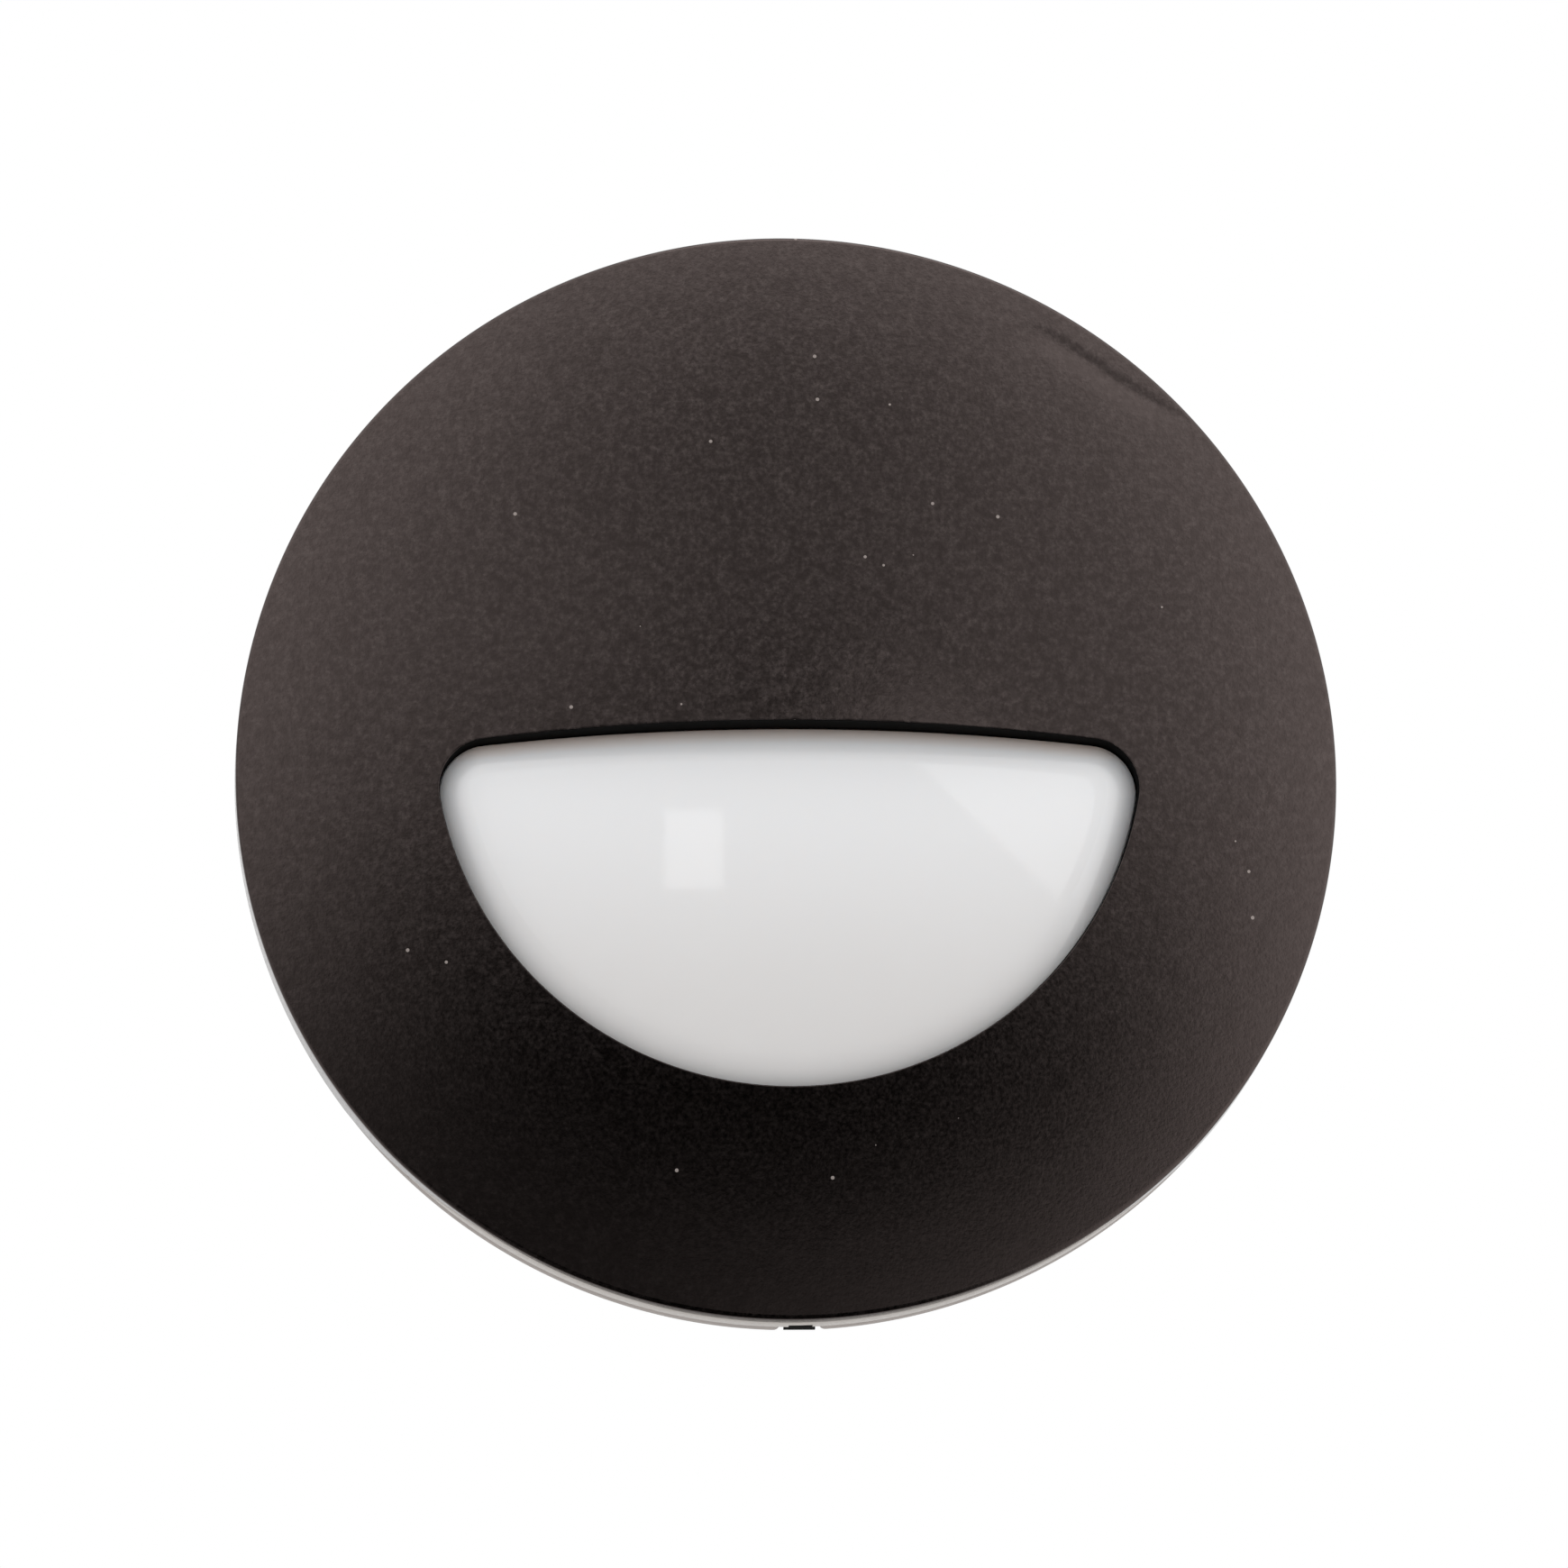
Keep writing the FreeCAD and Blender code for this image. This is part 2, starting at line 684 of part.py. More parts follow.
def cooling_fins():
    """Radial fins above and below the barrel, leaving its sides to the clips."""
    fins = []
    blank = block("fin_blank", s.chamber_radius + s.spigot_wall / 2, s.fin_tip_radius, s.fin_front, s.fin_back,
                  -s.fin_thick / 2, s.fin_thick / 2)
    for upright in (90, -90):
        for step in range(-FINS_EACH_SIDE, FINS_EACH_SIDE + 1):
            fin = doc.addObject("Part::Feature", f"fin_{len(fins)}")
            doc.recompute()
            fin.Shape = blank.Shape
            turn = FreeCAD.Rotation(FreeCAD.Vector(0, -1, 0), upright + step * s.fin_step_angle.value)
            spot = FreeCAD.Placement(FreeCAD.Vector(), turn)
            fin.Placement = spot.multiply(blank.Placement)
            fins.append(fin)
    return fins


def clip_lugs():
    """Two pairs of ears that carry the clip pins."""
    lugs = []
    for side in (1, -1):
        for end in (1, -1):
            name = f"lug_{len(lugs)}"
            low = lug_inner if end > 0 else -lug_outer
            pivot_x = s.pivot_out * side
            root_x = s.chamber_radius * side
            eye = place(make("Part::Cylinder", name + "_eye", Radius=s.clip_eye, Height=s.lug_thick),
                        pivot_x, s.pivot_back, low)
            left = min(pivot_x, root_x, key=float)
            right = max(pivot_x, root_x, key=float)
            web = block(name + "_web", left, right, s.pivot_back - s.clip_eye, s.pivot_back + s.clip_eye,
                        low, low + s.lug_thick)
            lugs.append(fuse(name, eye, web))
    return lugs


def circle_places(radius, first, count):
    """Evenly spaced places on a circle about the axis, from an angle above the right-hand side."""
    angles = [sized(first + 360 / count * index) for index in range(count)]
    return [(radius * cosine(angle), radius * sine(angle)) for angle in angles]


board_screw_places = circle_places(s.board_screw_circle, -90, 3)
standoff_places = circle_places(s.standoff_circle, 90, 3)
cap_screw_places = circle_places(s.cap_screw_circle, 45, 4)


def housing():
    """Die casting: sloped flange, lens recess, cup, neck, web and finned barrel."""
    edge_front = dome_at(s.flange_edge_radius, inner_dome_radius - s.moulding_gap)
    recess_front = dome_at(lens_recess, inner_dome_radius - s.moulding_gap)
    section = [
        (sized(0), s.cup_floor),
        (s.cup_radius, s.cup_floor),
        (s.cup_radius, lens_gasket_back),
        (lens_recess, lens_gasket_back),
        (lens_recess, recess_front),
        (s.flange_edge_radius, edge_front),
        (s.flange_edge_radius, flange_back),
        (s.register_radius, flange_back),
        (s.register_radius, s.register_back),
        (s.neck_radius, s.register_back),
        (s.neck_radius, s.neck_back),
        (s.barrel_radius, s.neck_back),
        (s.barrel_radius, s.barrel_back),
        (s.chamber_radius, s.barrel_back),
        (s.chamber_radius, s.neck_back),
        (sized(0), s.neck_back),
    ]
    core = turned("housing_core", section, {4: (inner_dome_radius - s.moulding_gap, 1)})
    reach = s.barrel_radius + s.overrun
    flats = [
        block("flat_right", s.barrel_flat, reach, s.neck_back, s.barrel_back + s.overrun, -reach, reach),
        block("flat_left", -reach, -s.barrel_flat, s.neck_back, s.barrel_back + s.overrun, -reach, reach),
    ]
    body = cut("housing_flats", core, *flats)
    bits = [body, bottom_key("housing_key", relief_roof + s.key_roof_gap, flange_back)]
    bits += cooling_fins() + clip_lugs()
    cuts = []
    cup = rod("cup_space", s.cup_radius + s.moulding_gap, s.boss_front, s.cup_floor + s.press_gap)
    for index, (x, z) in enumerate(peg_places):
        boss = rod(f"peg_boss_{index}", s.boss_radius, s.boss_front, s.cup_floor + s.press_gap, x, z)
        bits.append(common(f"peg_boss_in_cup_{index}", boss, cup))
        bore_back = s.peg_back + s.peg_ring_width
        cuts.append(rod(f"peg_bore_{index}", s.peg_radius + s.running_gap, s.boss_front - s.overrun,
                        bore_back, x, z))
    pilot = s.screw_radius + s.press_gap
    for index, (x, z) in enumerate(standoff_places):
        bits.append(rod(f"standoff_{index}", s.standoff_radius, s.neck_back - s.press_gap,
                        s.driver_board_front, x, z))
        tip = driver_board_back - s.screw_length - s.moulding_gap
        cuts.append(rod(f"standoff_pilot_{index}", pilot, tip, driver_board_back, x, z))
    for index, (x, z) in enumerate(board_screw_places):
        tip = led_board_front + s.screw_length + s.moulding_gap
        cuts.append(rod(f"board_pilot_{index}", pilot, led_board_front, tip, x, z))
    for index, (x, z) in enumerate(cap_screw_places):
        tip = cap_back - s.cap_screw_length - s.moulding_gap
        cuts.append(rod(f"cap_pilot_{index}", pilot, tip, cap_back, x, z))
    cuts.append(rod("web_hole", s.lead_hole, led_board_front, s.driver_board_front, 0, s.lead_up))
    for name, side in (("pin_hole_right", 1), ("pin_hole_left", -1)):
        hole = make("Part::Cylinder", name, Radius=s.pin_radius + s.press_gap, Height=(lug_outer + s.overrun) * 2)
        cuts.append(place(hole, s.pivot_out * side, s.pivot_back, -(lug_outer + s.overrun)))
    return node("housing", cut("housing_cut", fuse("housing_whole", *bits), *cuts))


def wall_gasket():
    """Flat silicone ring with the sector under the relief and a drain notch at the bottom."""
    flat = ring("wall_gasket_ring", s.flange_edge_radius, s.wall_gasket_inner, flange_back, 0)
    whole = fuse("wall_gasket_whole", flat, bottom_key("wall_gasket_key", flange_back, sized(0)))
    notch_half = s.notch_width / 2
    gasket_width = s.flange_edge_radius - s.wall_gasket_inner
    notch_top = gasket_width * s.notch_depth_share - s.flange_edge_radius
    throat = block("notch_throat", -notch_half, notch_half, flange_back - s.overrun, s.overrun,
                   -(s.face_radius + s.overrun), notch_top)
    end = rod("notch_end", notch_half, flange_back - s.overrun, s.overrun, 0, notch_top)
    return node("wall_gasket", cut("wall_gasket_cut", whole, throat, end))


def reflector():
    """White moulding: a plate on the peg bosses and a funnel down to the LED board."""
    plate_front = s.boss_front - s.reflector_wall
    plate = rod("reflector_plate", s.reflector_radius, plate_front, s.boss_front)

    def funnel(name, inset, front, back):
        sections = []
        slope = (s.reflector_throat_inset - s.reflector_inset) / (reflector_back - plate_front)
        for end, y in (("mouth", front), ("throat", back)):
            sketch = doc.addObject("Sketcher::SketchObject", f"{name}_{end}")
            here = s.reflector_inset + slope * (y - plate_front)
            low = s.eyelid_radius - here + inset
            draw(sketch, [(low, s.eyelid_centre_up), (-low, s.eyelid_centre_up)],
                 {1: (low + s.press_gap, 1)})
            upright = FreeCAD.Rotation(FreeCAD.Vector(1, 0, 0), 90)
            place(sketch, 0, y, 0, upright)
            sections.append(sketch)
        loft = doc.addObject("Part::Loft", name)
        loft.Sections = sections
        loft.Solid = True
        loft.Ruled = True
        return loft

    outer = funnel("funnel_outer", s.reflector_wall, plate_front, reflector_back)
    inner = funnel("funnel_inner", sized(0), plate_front - s.overrun, reflector_back + s.overrun)
    cuts = [inner]
    for index, (x, z) in enumerate(peg_places):
        cuts.append(rod(f"reflector_peg_hole_{index}", s.peg_radius + s.moulding_gap,
                        plate_front - s.overrun, s.boss_front + s.overrun, x, z))
    return node("reflector", cut("reflector_cut", fuse("reflector_whole", plate, outer), *cuts))


def board_stack():
    """LED board on its thermal pad, with its chips and screws."""
    screw_holes = [rod(f"board_screw_hole_{index}", s.screw_radius + s.running_gap,
                       led_board_front - s.overrun, s.cup_floor, x, z)
                   for index, (x, z) in enumerate(board_screw_places)]
    lead_hole = rod("board_lead_hole", s.lead_hole, led_board_front - s.overrun, s.cup_floor, 0, s.lead_up)
    board = rod("led_board_disc", s.led_board_radius, led_board_front, thermal_pad_front)
    node("led_board", cut("led_board_cut", board, *screw_holes, lead_hole))
    pad = rod("thermal_pad_disc", s.thermal_pad_radius, thermal_pad_front, s.cup_floor)
    pad_holes = [rod(f"pad_screw_hole_{index}", s.screw_radius + s.running_gap, led_board_front,
                     s.cup_floor + s.overrun, x, z) for index, (x, z) in enumerate(board_screw_places)]
    pad_lead_hole = rod("pad_lead_hole", s.lead_hole, led_board_front, s.cup_floor + s.overrun, 0, s.lead_up)
    node("thermal_pad", cut("thermal_pad_cut", pad, *pad_holes, pad_lead_hole))
    chips = []
    for index in range(LED_COUNT):
        angle = sized(index - (LED_COUNT - 1) / 2) * s.chip_step_angle
        x = s.chip_circle * sine(angle)
        z = s.eyelid_centre_up - s.chip_circle * cosine(angle)
        half_wide = s.chip_wide / 2
        half_tall = s.chip_tall / 2
        chips.append(block(f"chip_{index}", x - half_wide, x + half_wide, led_board_front - s.chip_thick,
                           led_board_front, z - half_tall, z + half_tall))
    node("led_chips", group("led_chip_set", chips))
    screws = [pan_screw(f"board_screw_{index}", x, z, led_board_front, 1)
              for index, (x, z) in enumerate(board_screw_places)]
    node("led_board_screws", group("board_screw_set", screws))


def tube_along(name, points, bend, radius):
    """Round wire along straight runs joined by tangent arcs."""
    edges = []
    start = points[0]
    for before, corner, after in zip(points, points[1:], points[2:]):
        back = (before - corner).normalize()
        on = (after - corner).normalize()
        turn = math.pi - back.getAngle(on)
        reach = bend * math.tan(turn / 2)
        first = corner + back * reach
        last = corner + on * reach
        inward = (back + on).normalize()
        middle = corner + inward * (bend / math.cos(turn / 2) - bend)
        edges.append(Part.LineSegment(start, first).toShape())
        edges.append(Part.Arc(first, middle, last).toShape())
        start = last
    edges.append(Part.LineSegment(start, points[-1]).toShape())
    path = Part.Wire(edges)
    section = Part.Wire(Part.Circle(points[0], points[1] - points[0], radius).toShape())
    thing = doc.addObject("Part::Feature", name)
    thing.Shape = path.makePipeShell([section], True, False)
    thing.Placement = FreeCAD.Placement()
    print(name, "length", round(path.Length, 2), "bend radius", bend)
    return thing


def leads():
    """Two leads that rise from the LED board, turn over and pass back through the web."""
    for name, side in (("lead_red", 1), ("lead_black", -1)):
        front = (led_board_front - s.lead_loop).value
        pad_x = s.lead_pad_out.value * side
        hole_x = s.lead_out.value * side
        up = s.lead_up.value
        points = [
            FreeCAD.Vector(pad_x, led_board_front.value, up),
            FreeCAD.Vector(pad_x, front, up),
            FreeCAD.Vector(hole_x, front, up),
            FreeCAD.Vector(hole_x, s.driver_board_front.value, up),
        ]
        node(name, tube_along(name + "_wire", points, s.lead_bend.value, s.lead_radius.value))


def driver():
    """Round driver board on three standoffs, with its parts on the rear side."""
    cuts = [rod(f"insulator_hole_{index}", s.standoff_radius + s.running_gap, s.cup_floor,
                s.driver_board_front, x, z) for index, (x, z) in enumerate(standoff_places)]
    cuts.append(rod("insulator_lead_hole", s.lead_hole, s.cup_floor, s.driver_board_front, 0, s.lead_up))
    sheet = rod("insulator_disc", s.insulator_radius, s.neck_back, s.neck_back + s.insulator)
    node("driver_insulator", cut("insulator_cut", sheet, *cuts))
    board = rod("driver_board_disc", s.driver_board_radius, s.driver_board_front, driver_board_back)
    holes = [rod(f"driver_hole_{index}", s.screw_radius + s.running_gap, s.neck_back,
                 driver_board_back + s.overrun, x, z) for index, (x, z) in enumerate(standoff_places)]
    node("driver_board", cut("driver_board_cut", board, *holes))
    screws = [pan_screw(f"driver_screw_{index}", x, z, driver_board_back, -1)
              for index, (x, z) in enumerate(standoff_places)]
    node("driver_screws", group("driver_screw_set", screws))
    back = driver_board_back
    can = rod("capacitor_can", s.capacitor_radius, back, back + s.capacitor_length, -s.part_out, s.part_up)
    neck = ring("capacitor_neck", s.capacitor_radius + s.overrun, s.capacitor_radius - s.capacitor_crimp_depth,
                back + s.capacitor_crimp, back + s.capacitor_crimp * 2, -s.part_out, s.part_up)
    node("driver_capacitor", cut("capacitor_cut", can, neck))
    drum = rod("inductor_drum", s.inductor_radius, back, back + s.inductor_length, s.part_out, s.part_up)
    waist = ring("inductor_groove", s.inductor_radius + s.overrun, s.inductor_radius - s.inductor_waist / 2,
                 back + s.inductor_cheek, back + s.inductor_length - s.inductor_cheek, s.part_out, s.part_up)
    node("driver_inductor", cut("inductor_cut", drum, waist))
    half = s.rectifier_side / 2
    node("driver_rectifier", block("rectifier_case", -s.flat_part_out - half, -s.flat_part_out + half, back,
                                   back + s.rectifier_height, -s.flat_part_down - half, -s.flat_part_down + half))
    half_wide = s.driver_chip_wide / 2
    half_tall = s.driver_chip_tall / 2
    node("driver_chip", block("chip_case", s.flat_part_out - half_wide, s.flat_part_out + half_wide, back,
                              back + s.driver_chip_height, -s.flat_part_down - half_tall,
                              -s.flat_part_down + half_tall))
    fuse_y = back + s.fuse_radius
    half_length = s.fuse_length / 2
    along = FreeCAD.Rotation(FreeCAD.Vector(0, 1, 0), 90)
    glass = place(make("Part::Cylinder", "fuse_glass", Radius=s.fuse_radius - s.fuse_cap_wall,
                       Height=s.fuse_length), -half_length, fuse_y, s.fuse_up, along)
    caps = [place(make("Part::Cylinder", f"fuse_cap_{index}", Radius=s.fuse_radius, Height=s.fuse_cap),
                  start, fuse_y, s.fuse_up, along)
            for index, start in enumerate((-half_length, half_length - s.fuse_cap))]
    node("driver_fuse", fuse("fuse_whole", glass, *caps))


def terminals():
    """Two-way terminal block: wire ways from the gland's side, clamp screws on top."""
    front = driver_board_back
    back = front + s.terminal_depth
    half = s.terminal_wide / 2
    low = -s.gland_down - s.terminal_tall / 2
    high = low + s.terminal_tall
    body = block("terminal_case", -half, half, front, back, low, high)
    cuts = []
    screws = []
    for index, side in enumerate((-1, 1)):
        x = s.terminal_way / 2 * side
        way_z = low + s.terminal_tall / 3
        cuts.append(rod(f"wire_way_{index}", s.wire_way_radius, back - s.wire_way_depth, back + s.overrun,
                        x, way_z))
        middle = (front + back) / 2
        well = make("Part::Cylinder", f"screw_well_{index}", Radius=s.terminal_screw_radius + s.running_gap,
                    Height=s.terminal_screw_length + s.overrun)
        cuts.append(place(well, x, middle, high - s.terminal_screw_length))
        screw = make("Part::Cylinder", f"terminal_screw_{index}", Radius=s.terminal_screw_radius,
                     Height=s.terminal_screw_length - s.screw_slot_depth)
        screws.append(place(screw, x, middle, high - s.terminal_screw_length))
    node("terminal_block", cut("terminal_cut", body, *cuts))
    node("terminal_screws", group("terminal_screw_set", screws))


def rear_cap():
    """Lid of the barrel: a plate with a grooved spigot, the gland hole and four screw holes."""
    inner = s.spigot_radius - s.spigot_wall
    groove_back = s.seal_groove_front + s.seal_groove_width
    section = [
        (sized(0), s.barrel_back),
        (inner, s.barrel_back),
        (inner, s.spigot_front),
        (s.spigot_radius, s.spigot_front),
        (s.spigot_radius, s.seal_groove_front),
        (s.seal_groove_radius, s.seal_groove_front),
        (s.seal_groove_radius, groove_back),
        (s.spigot_radius, groove_back),
        (s.spigot_radius, s.barrel_back),
        (s.barrel_radius, s.barrel_back),
        (s.barrel_radius, cap_back),
        (sized(0), cap_back),
    ]
    plate = turned("cap_core", section)
    reach = s.barrel_radius + s.overrun
    cuts = [
        block("cap_flat_right", s.barrel_flat, reach, s.barrel_back - s.overrun, cap_back + s.overrun,
              -reach, reach),
        block("cap_flat_left", -reach, -s.barrel_flat, s.barrel_back - s.overrun, cap_back + s.overrun,
              -reach, reach),
        rod("cap_gland_hole", s.gland_thread_radius + s.press_gap, s.spigot_front, cap_back + s.overrun,
            0, -s.gland_down),
    ]
    for index, (x, z) in enumerate(cap_screw_places):
        cuts.append(rod(f"cap_screw_hole_{index}", s.screw_radius + s.running_gap, s.spigot_front,
                        cap_back + s.overrun, x, z))
    node("rear_cap", cut("cap_cut", plate, *cuts))
    seal = make("Part::Torus", "cap_seal_ring", Radius1=s.seal_groove_radius + s.seal_radius + s.press_gap,
                Radius2=s.seal_radius)
    node("cap_seal", place(seal, 0, (s.seal_groove_front + groove_back) / 2, 0, INTO_WALL))
    screws = [pan_screw(f"cap_screw_{index}", x, z, cap_back, -1, s.cap_screw_length)
              for index, (x, z) in enumerate(cap_screw_places)]
    node("cap_screws", group("cap_screw_set", screws))


def gland():
    """Cable gland: threaded body, sealing washer, compression seal, domed nut and locknut."""
    down = -s.gland_down
    seal_front = gland_collar_back - s.gland_seat_depth
    seal_back = seal_front + s.gland_seal
    tail_front = cap_back - s.cap_plate - s.gland_tail + s.locknut
    tail = rod("gland_tail", s.gland_thread_radius, tail_front, gland_washer_back, 0, down)
    collar = hexagon("gland_collar", s.gland_flats, gland_washer_back, gland_collar_back, 0, down)
    upper = rod("gland_upper", s.gland_upper_radius, gland_collar_back, gland_upper_back, 0, down)
    way = rod("gland_way", s.cable_radius + s.moulding_gap, tail_front - s.overrun, gland_upper_back + s.overrun,
              0, down)
    seat = rod("gland_seat", s.gland_seal_radius + s.press_gap, seal_front, gland_upper_back + s.overrun, 0, down)
    node("gland_body", cut("gland_body_cut", fuse("gland_body_whole", tail, collar, upper), way, seat))
    node("gland_washer", ring("gland_washer_ring", s.gland_washer_radius, s.gland_thread_radius + s.press_gap,
                              cap_back, gland_washer_back, 0, down))
    node("gland_seal", ring("gland_seal_tube", s.gland_seal_radius, s.cable_radius, seal_front, seal_back,
                            0, down))
    hex_back = gland_collar_back + s.gland_nut_hex
    nut_hex = hexagon("nut_hex", s.gland_flats, gland_collar_back, hex_back, 0, down)
    nut_dome = rod("nut_dome_blank", s.gland_flats / 2, gland_collar_back, gland_nut_back, 0, down)

    def at_end(edge):
        return abs(edge.BoundBox.YMin - gland_nut_back.value) < s.press_gap.value

    dome = rounded("nut_dome", nut_dome, s.gland_dome_round, at_end)
    thread = rod("nut_thread", s.gland_upper_radius + s.press_gap, gland_collar_back - s.overrun,
                 gland_upper_back + s.press_gap, 0, down)
    room = rod("nut_room", s.gland_seal_radius + s.press_gap, gland_collar_back, seal_back + s.press_gap, 0, down)
    mouth = rod("nut_mouth", s.gland_nut_mouth, gland_collar_back, gland_nut_back + s.overrun, 0, down)
    node("gland_nut", cut("nut_cut", fuse("nut_whole", nut_hex, dome), thread, room, mouth))
    locknut_front = s.barrel_back - s.locknut
    nut = hexagon("locknut_hex", s.gland_flats, locknut_front, s.barrel_back, 0, down)
    hole = rod("locknut_hole", s.gland_thread_radius + s.press_gap, locknut_front - s.overrun,
               s.barrel_back + s.overrun, 0, down)
    node("gland_locknut", cut("locknut_cut", nut, hole))


def clip_placement(side):
    """Where a clip's own frame stands: its X runs out along the arm and its Y to the rear."""
    spot = FreeCAD.Placement(
        FreeCAD.Vector(s.pivot_out.value, s.pivot_back.value, 0),
        FreeCAD.Rotation(FreeCAD.Vector(0, 0, 1), -s.clip_rest_angle.value),
    )
    over = FreeCAD.Placement(FreeCAD.Vector(), TURNED_OVER)
    return spot if side > 0 else over.multiply(spot)


def spring_clip(name, side):
    """Sheet-steel arm folded to a channel: two cheeks with pin eyes and the plate between them."""
    inner = -s.clip_plate_offset
    outer = inner - s.clip_steel
    eye = s.clip_eye
    body = new_body(name + "_steel")
    outline = [
        (sized(0), eye),
        (-eye, sized(0)),
        (sized(0), -eye),
        (s.clip_plate_start, outer),
        (s.clip_length, outer),
        (s.clip_length, inner),
        (s.clip_cheek_length, inner),
        (s.clip_cheek_length, -s.clip_cheek_edge),
    ]
    draw(sketch_on(body, "XY_Plane", name + "_side"), outline, {0: (eye, 1), 1: (eye, 1)})
    extrude(body, "PartDesign::Pad", name + "_blank", s.clip_half_width * 2, both=True)
    reach = s.clip_cheek_length + s.overrun
    room = [(-reach, inner), (reach, inner), (reach, reach), (-reach, reach)]
    draw(sketch_on(body, "XY_Plane", name + "_room"), room)
    extrude(body, "PartDesign::Pocket", name + "_channel", (s.clip_half_width - s.clip_cheek) * 2, both=True)
    hole = sketch_on(body, "XY_Plane", name + "_hole")
    radius = s.pin_radius + s.running_gap
    hole.addGeometry(Part.Circle(FreeCAD.Vector(), FreeCAD.Vector(0, 0, 1), radius.value))
    hole.addConstraint(Sketcher.Constraint("Coincident", 0, 3, -1, 1))
    fix(hole, "Radius", 0, size=radius)
    extrude(body, "PartDesign::Pocket", name + "_eyes", (s.clip_half_width + s.overrun) * 2, both=True)
    body.Placement = clip_placement(side)
    return node(name, body)


def clip_sleeve(name, side):
    """Soft cap over the end of an arm, with rounded edges."""
    body = new_body(name + "_cap")
    wall = s.sleeve_wall
    inner = -s.clip_plate_offset
    outer = inner - s.clip_steel
    end = s.clip_length + wall
    front = outer - wall
    back = inner + wall
    corners = [
        (s.sleeve_start, back), (s.sleeve_start, front), (end - wall, front), (end, front + wall),
        (end, back - wall), (end - wall, back),
    ]
    draw(sketch_on(body, "XY_Plane", name + "_side"), corners, {2: (wall, 1), 4: (wall, 1)})
    extrude(body, "PartDesign::Pad", name + "_blank", (s.clip_half_width + wall) * 2, both=True)
    pocket = [(s.sleeve_start - s.overrun, outer), (s.clip_length, outer), (s.clip_length, inner),
              (s.sleeve_start - s.overrun, inner)]
    draw(sketch_on(body, "XY_Plane", name + "_room"), pocket)
    extrude(body, "PartDesign::Pocket", name + "_pocket", s.clip_half_width * 2, both=True)
    body.Placement = clip_placement(side)
    return node(name, body)


def clip_pin(name, side):
    """Headed pin through the lugs and the clip's eyes."""
    end = lug_outer + s.pin_head
    shank = make("Part::Cylinder", name + "_shank", Radius=s.pin_radius, Height=end * 2)
    place(shank, s.pivot_out * side, s.pivot_back, -end)
    head = make("Part::Cylinder", name + "_head", Radius=s.pin_head_radius, Height=s.pin_head)
    place(head, s.pivot_out * side, s.pivot_back, lug_outer)
    return node(name, fuse(name + "_whole", shank, head))


def biarc(start, start_way, end, end_way):
    """Two tangent arcs between two points with given directions."""
    chord = end - start
    both = start_way + end_way
    spread = 2 * (1 - start_way.dot(end_way))
    along = chord.dot(both)
    reach = (math.sqrt(along ** 2 + spread * chord.dot(chord)) - along) / spread
    first = start + start_way * reach
    last = end - end_way * reach
    middle = (first + last) / 2
    return [arc_through(start, first, middle), arc_through(middle, last, end)]


def arc_through(start, corner, end):
    """Arc tangent to the two equal runs start-corner and corner-end."""
    half = (end - start) / 2
    rise = corner - (start + half)
    lean = math.atan2(rise.Length, half.Length)
    top = start + half + rise.normalize() * (half.Length * math.tan(lean / 2))
    return Part.Arc(start, top, end).toShape()


def torsion_spring(name, side):
    """Coil round the clip's pin: one leg lies on the barrel's flat, the other under the arm."""
    radius = s.coil_radius.value
    height = s.coil_height.value
    turn = s.coil_turns.value * 360 + 90 - s.clip_rest_angle.value

    def on_coil(share):
        angle = math.radians(180 + turn * share)
        spot = FreeCAD.Vector(radius * math.cos(angle), radius * math.sin(angle), height * (share - 0.5))
        climb = height / math.radians(turn)
        way = FreeCAD.Vector(-radius * math.sin(angle), radius * math.cos(angle), climb)
        return spot, way.normalize()

    steps = round(turn / 90)
    stations = [on_coil(step / steps) for step in range(steps + 1)]
    start, start_way = stations[0]
    end, end_way = stations[-1]
    foot = start - start_way * s.leg_on_barrel.value
    tip = end + end_way * s.leg_on_arm.value
    edges = [Part.LineSegment(foot, start).toShape()]
    for (here, way), (there, next_way) in zip(stations, stations[1:]):
        edges += biarc(here, way, there, next_way)
    edges.append(Part.LineSegment(end, tip).toShape())
    path = Part.Wire(edges)
    section = Part.Wire(Part.Circle(foot, start_way, s.wire_radius.value).toShape())
    thing = doc.addObject("Part::Feature", name + "_wire")
    thing.Shape = path.makePipeShell([section], True, False)
    spot = FreeCAD.Placement(FreeCAD.Vector(s.pivot_out.value, s.pivot_back.value, 0), FreeCAD.Rotation())
    over = FreeCAD.Placement(FreeCAD.Vector(), TURNED_OVER)
    thing.Placement = spot if side > 0 else over.multiply(spot)
    print_spring_gap(name, on_coil, steps)
    return node(name, thing)


def print_spring_gap(name, on_coil, steps):
    """Least distance between neighbouring turns, measured on points, less the wire."""
    fine = steps * 8
    points = [on_coil(step / fine)[0] for step in range(fine + 1)]
    least = min((a - b).Length for index, a in enumerate(points) for b in points[index + fine // steps * 3:])
    print(name, "least gap between turns", round(least - 2 * s.wire_radius.value, 3))


def spring_clips():
    for name, side in (("right_clip", 1), ("left_clip", -1)):
        spring_clip(name, side)
        clip_sleeve(name + "_sleeve", side)
        clip_pin(name + "_pin", side)
        torsion_spring(name + "_spring", side)


def check_and_export():
    """Stop on any failed object, then write each sub-part to a file named for it."""
    doc.recompute()
    failed = [thing.Name for thing in doc.Objects if {"Invalid", "Error"} & set(thing.State)]
    if failed:
        raise SystemExit(f"failed objects: {failed}")
    for thing in nodes:
        if thing.Shape.isNull() or not thing.Shape.isValid() or thing.Shape.Volume <= 0:
            raise SystemExit(f"bad shape: {thing.Label}")
    os.makedirs("parts", exist_ok=True)
    for thing in nodes:
        thing.Shape.exportStep(f"parts/{thing.Label}.step")
        print(thing.Label, "solids", len(thing.Shape.Solids), "volume", round(thing.Shape.Volume, 2))


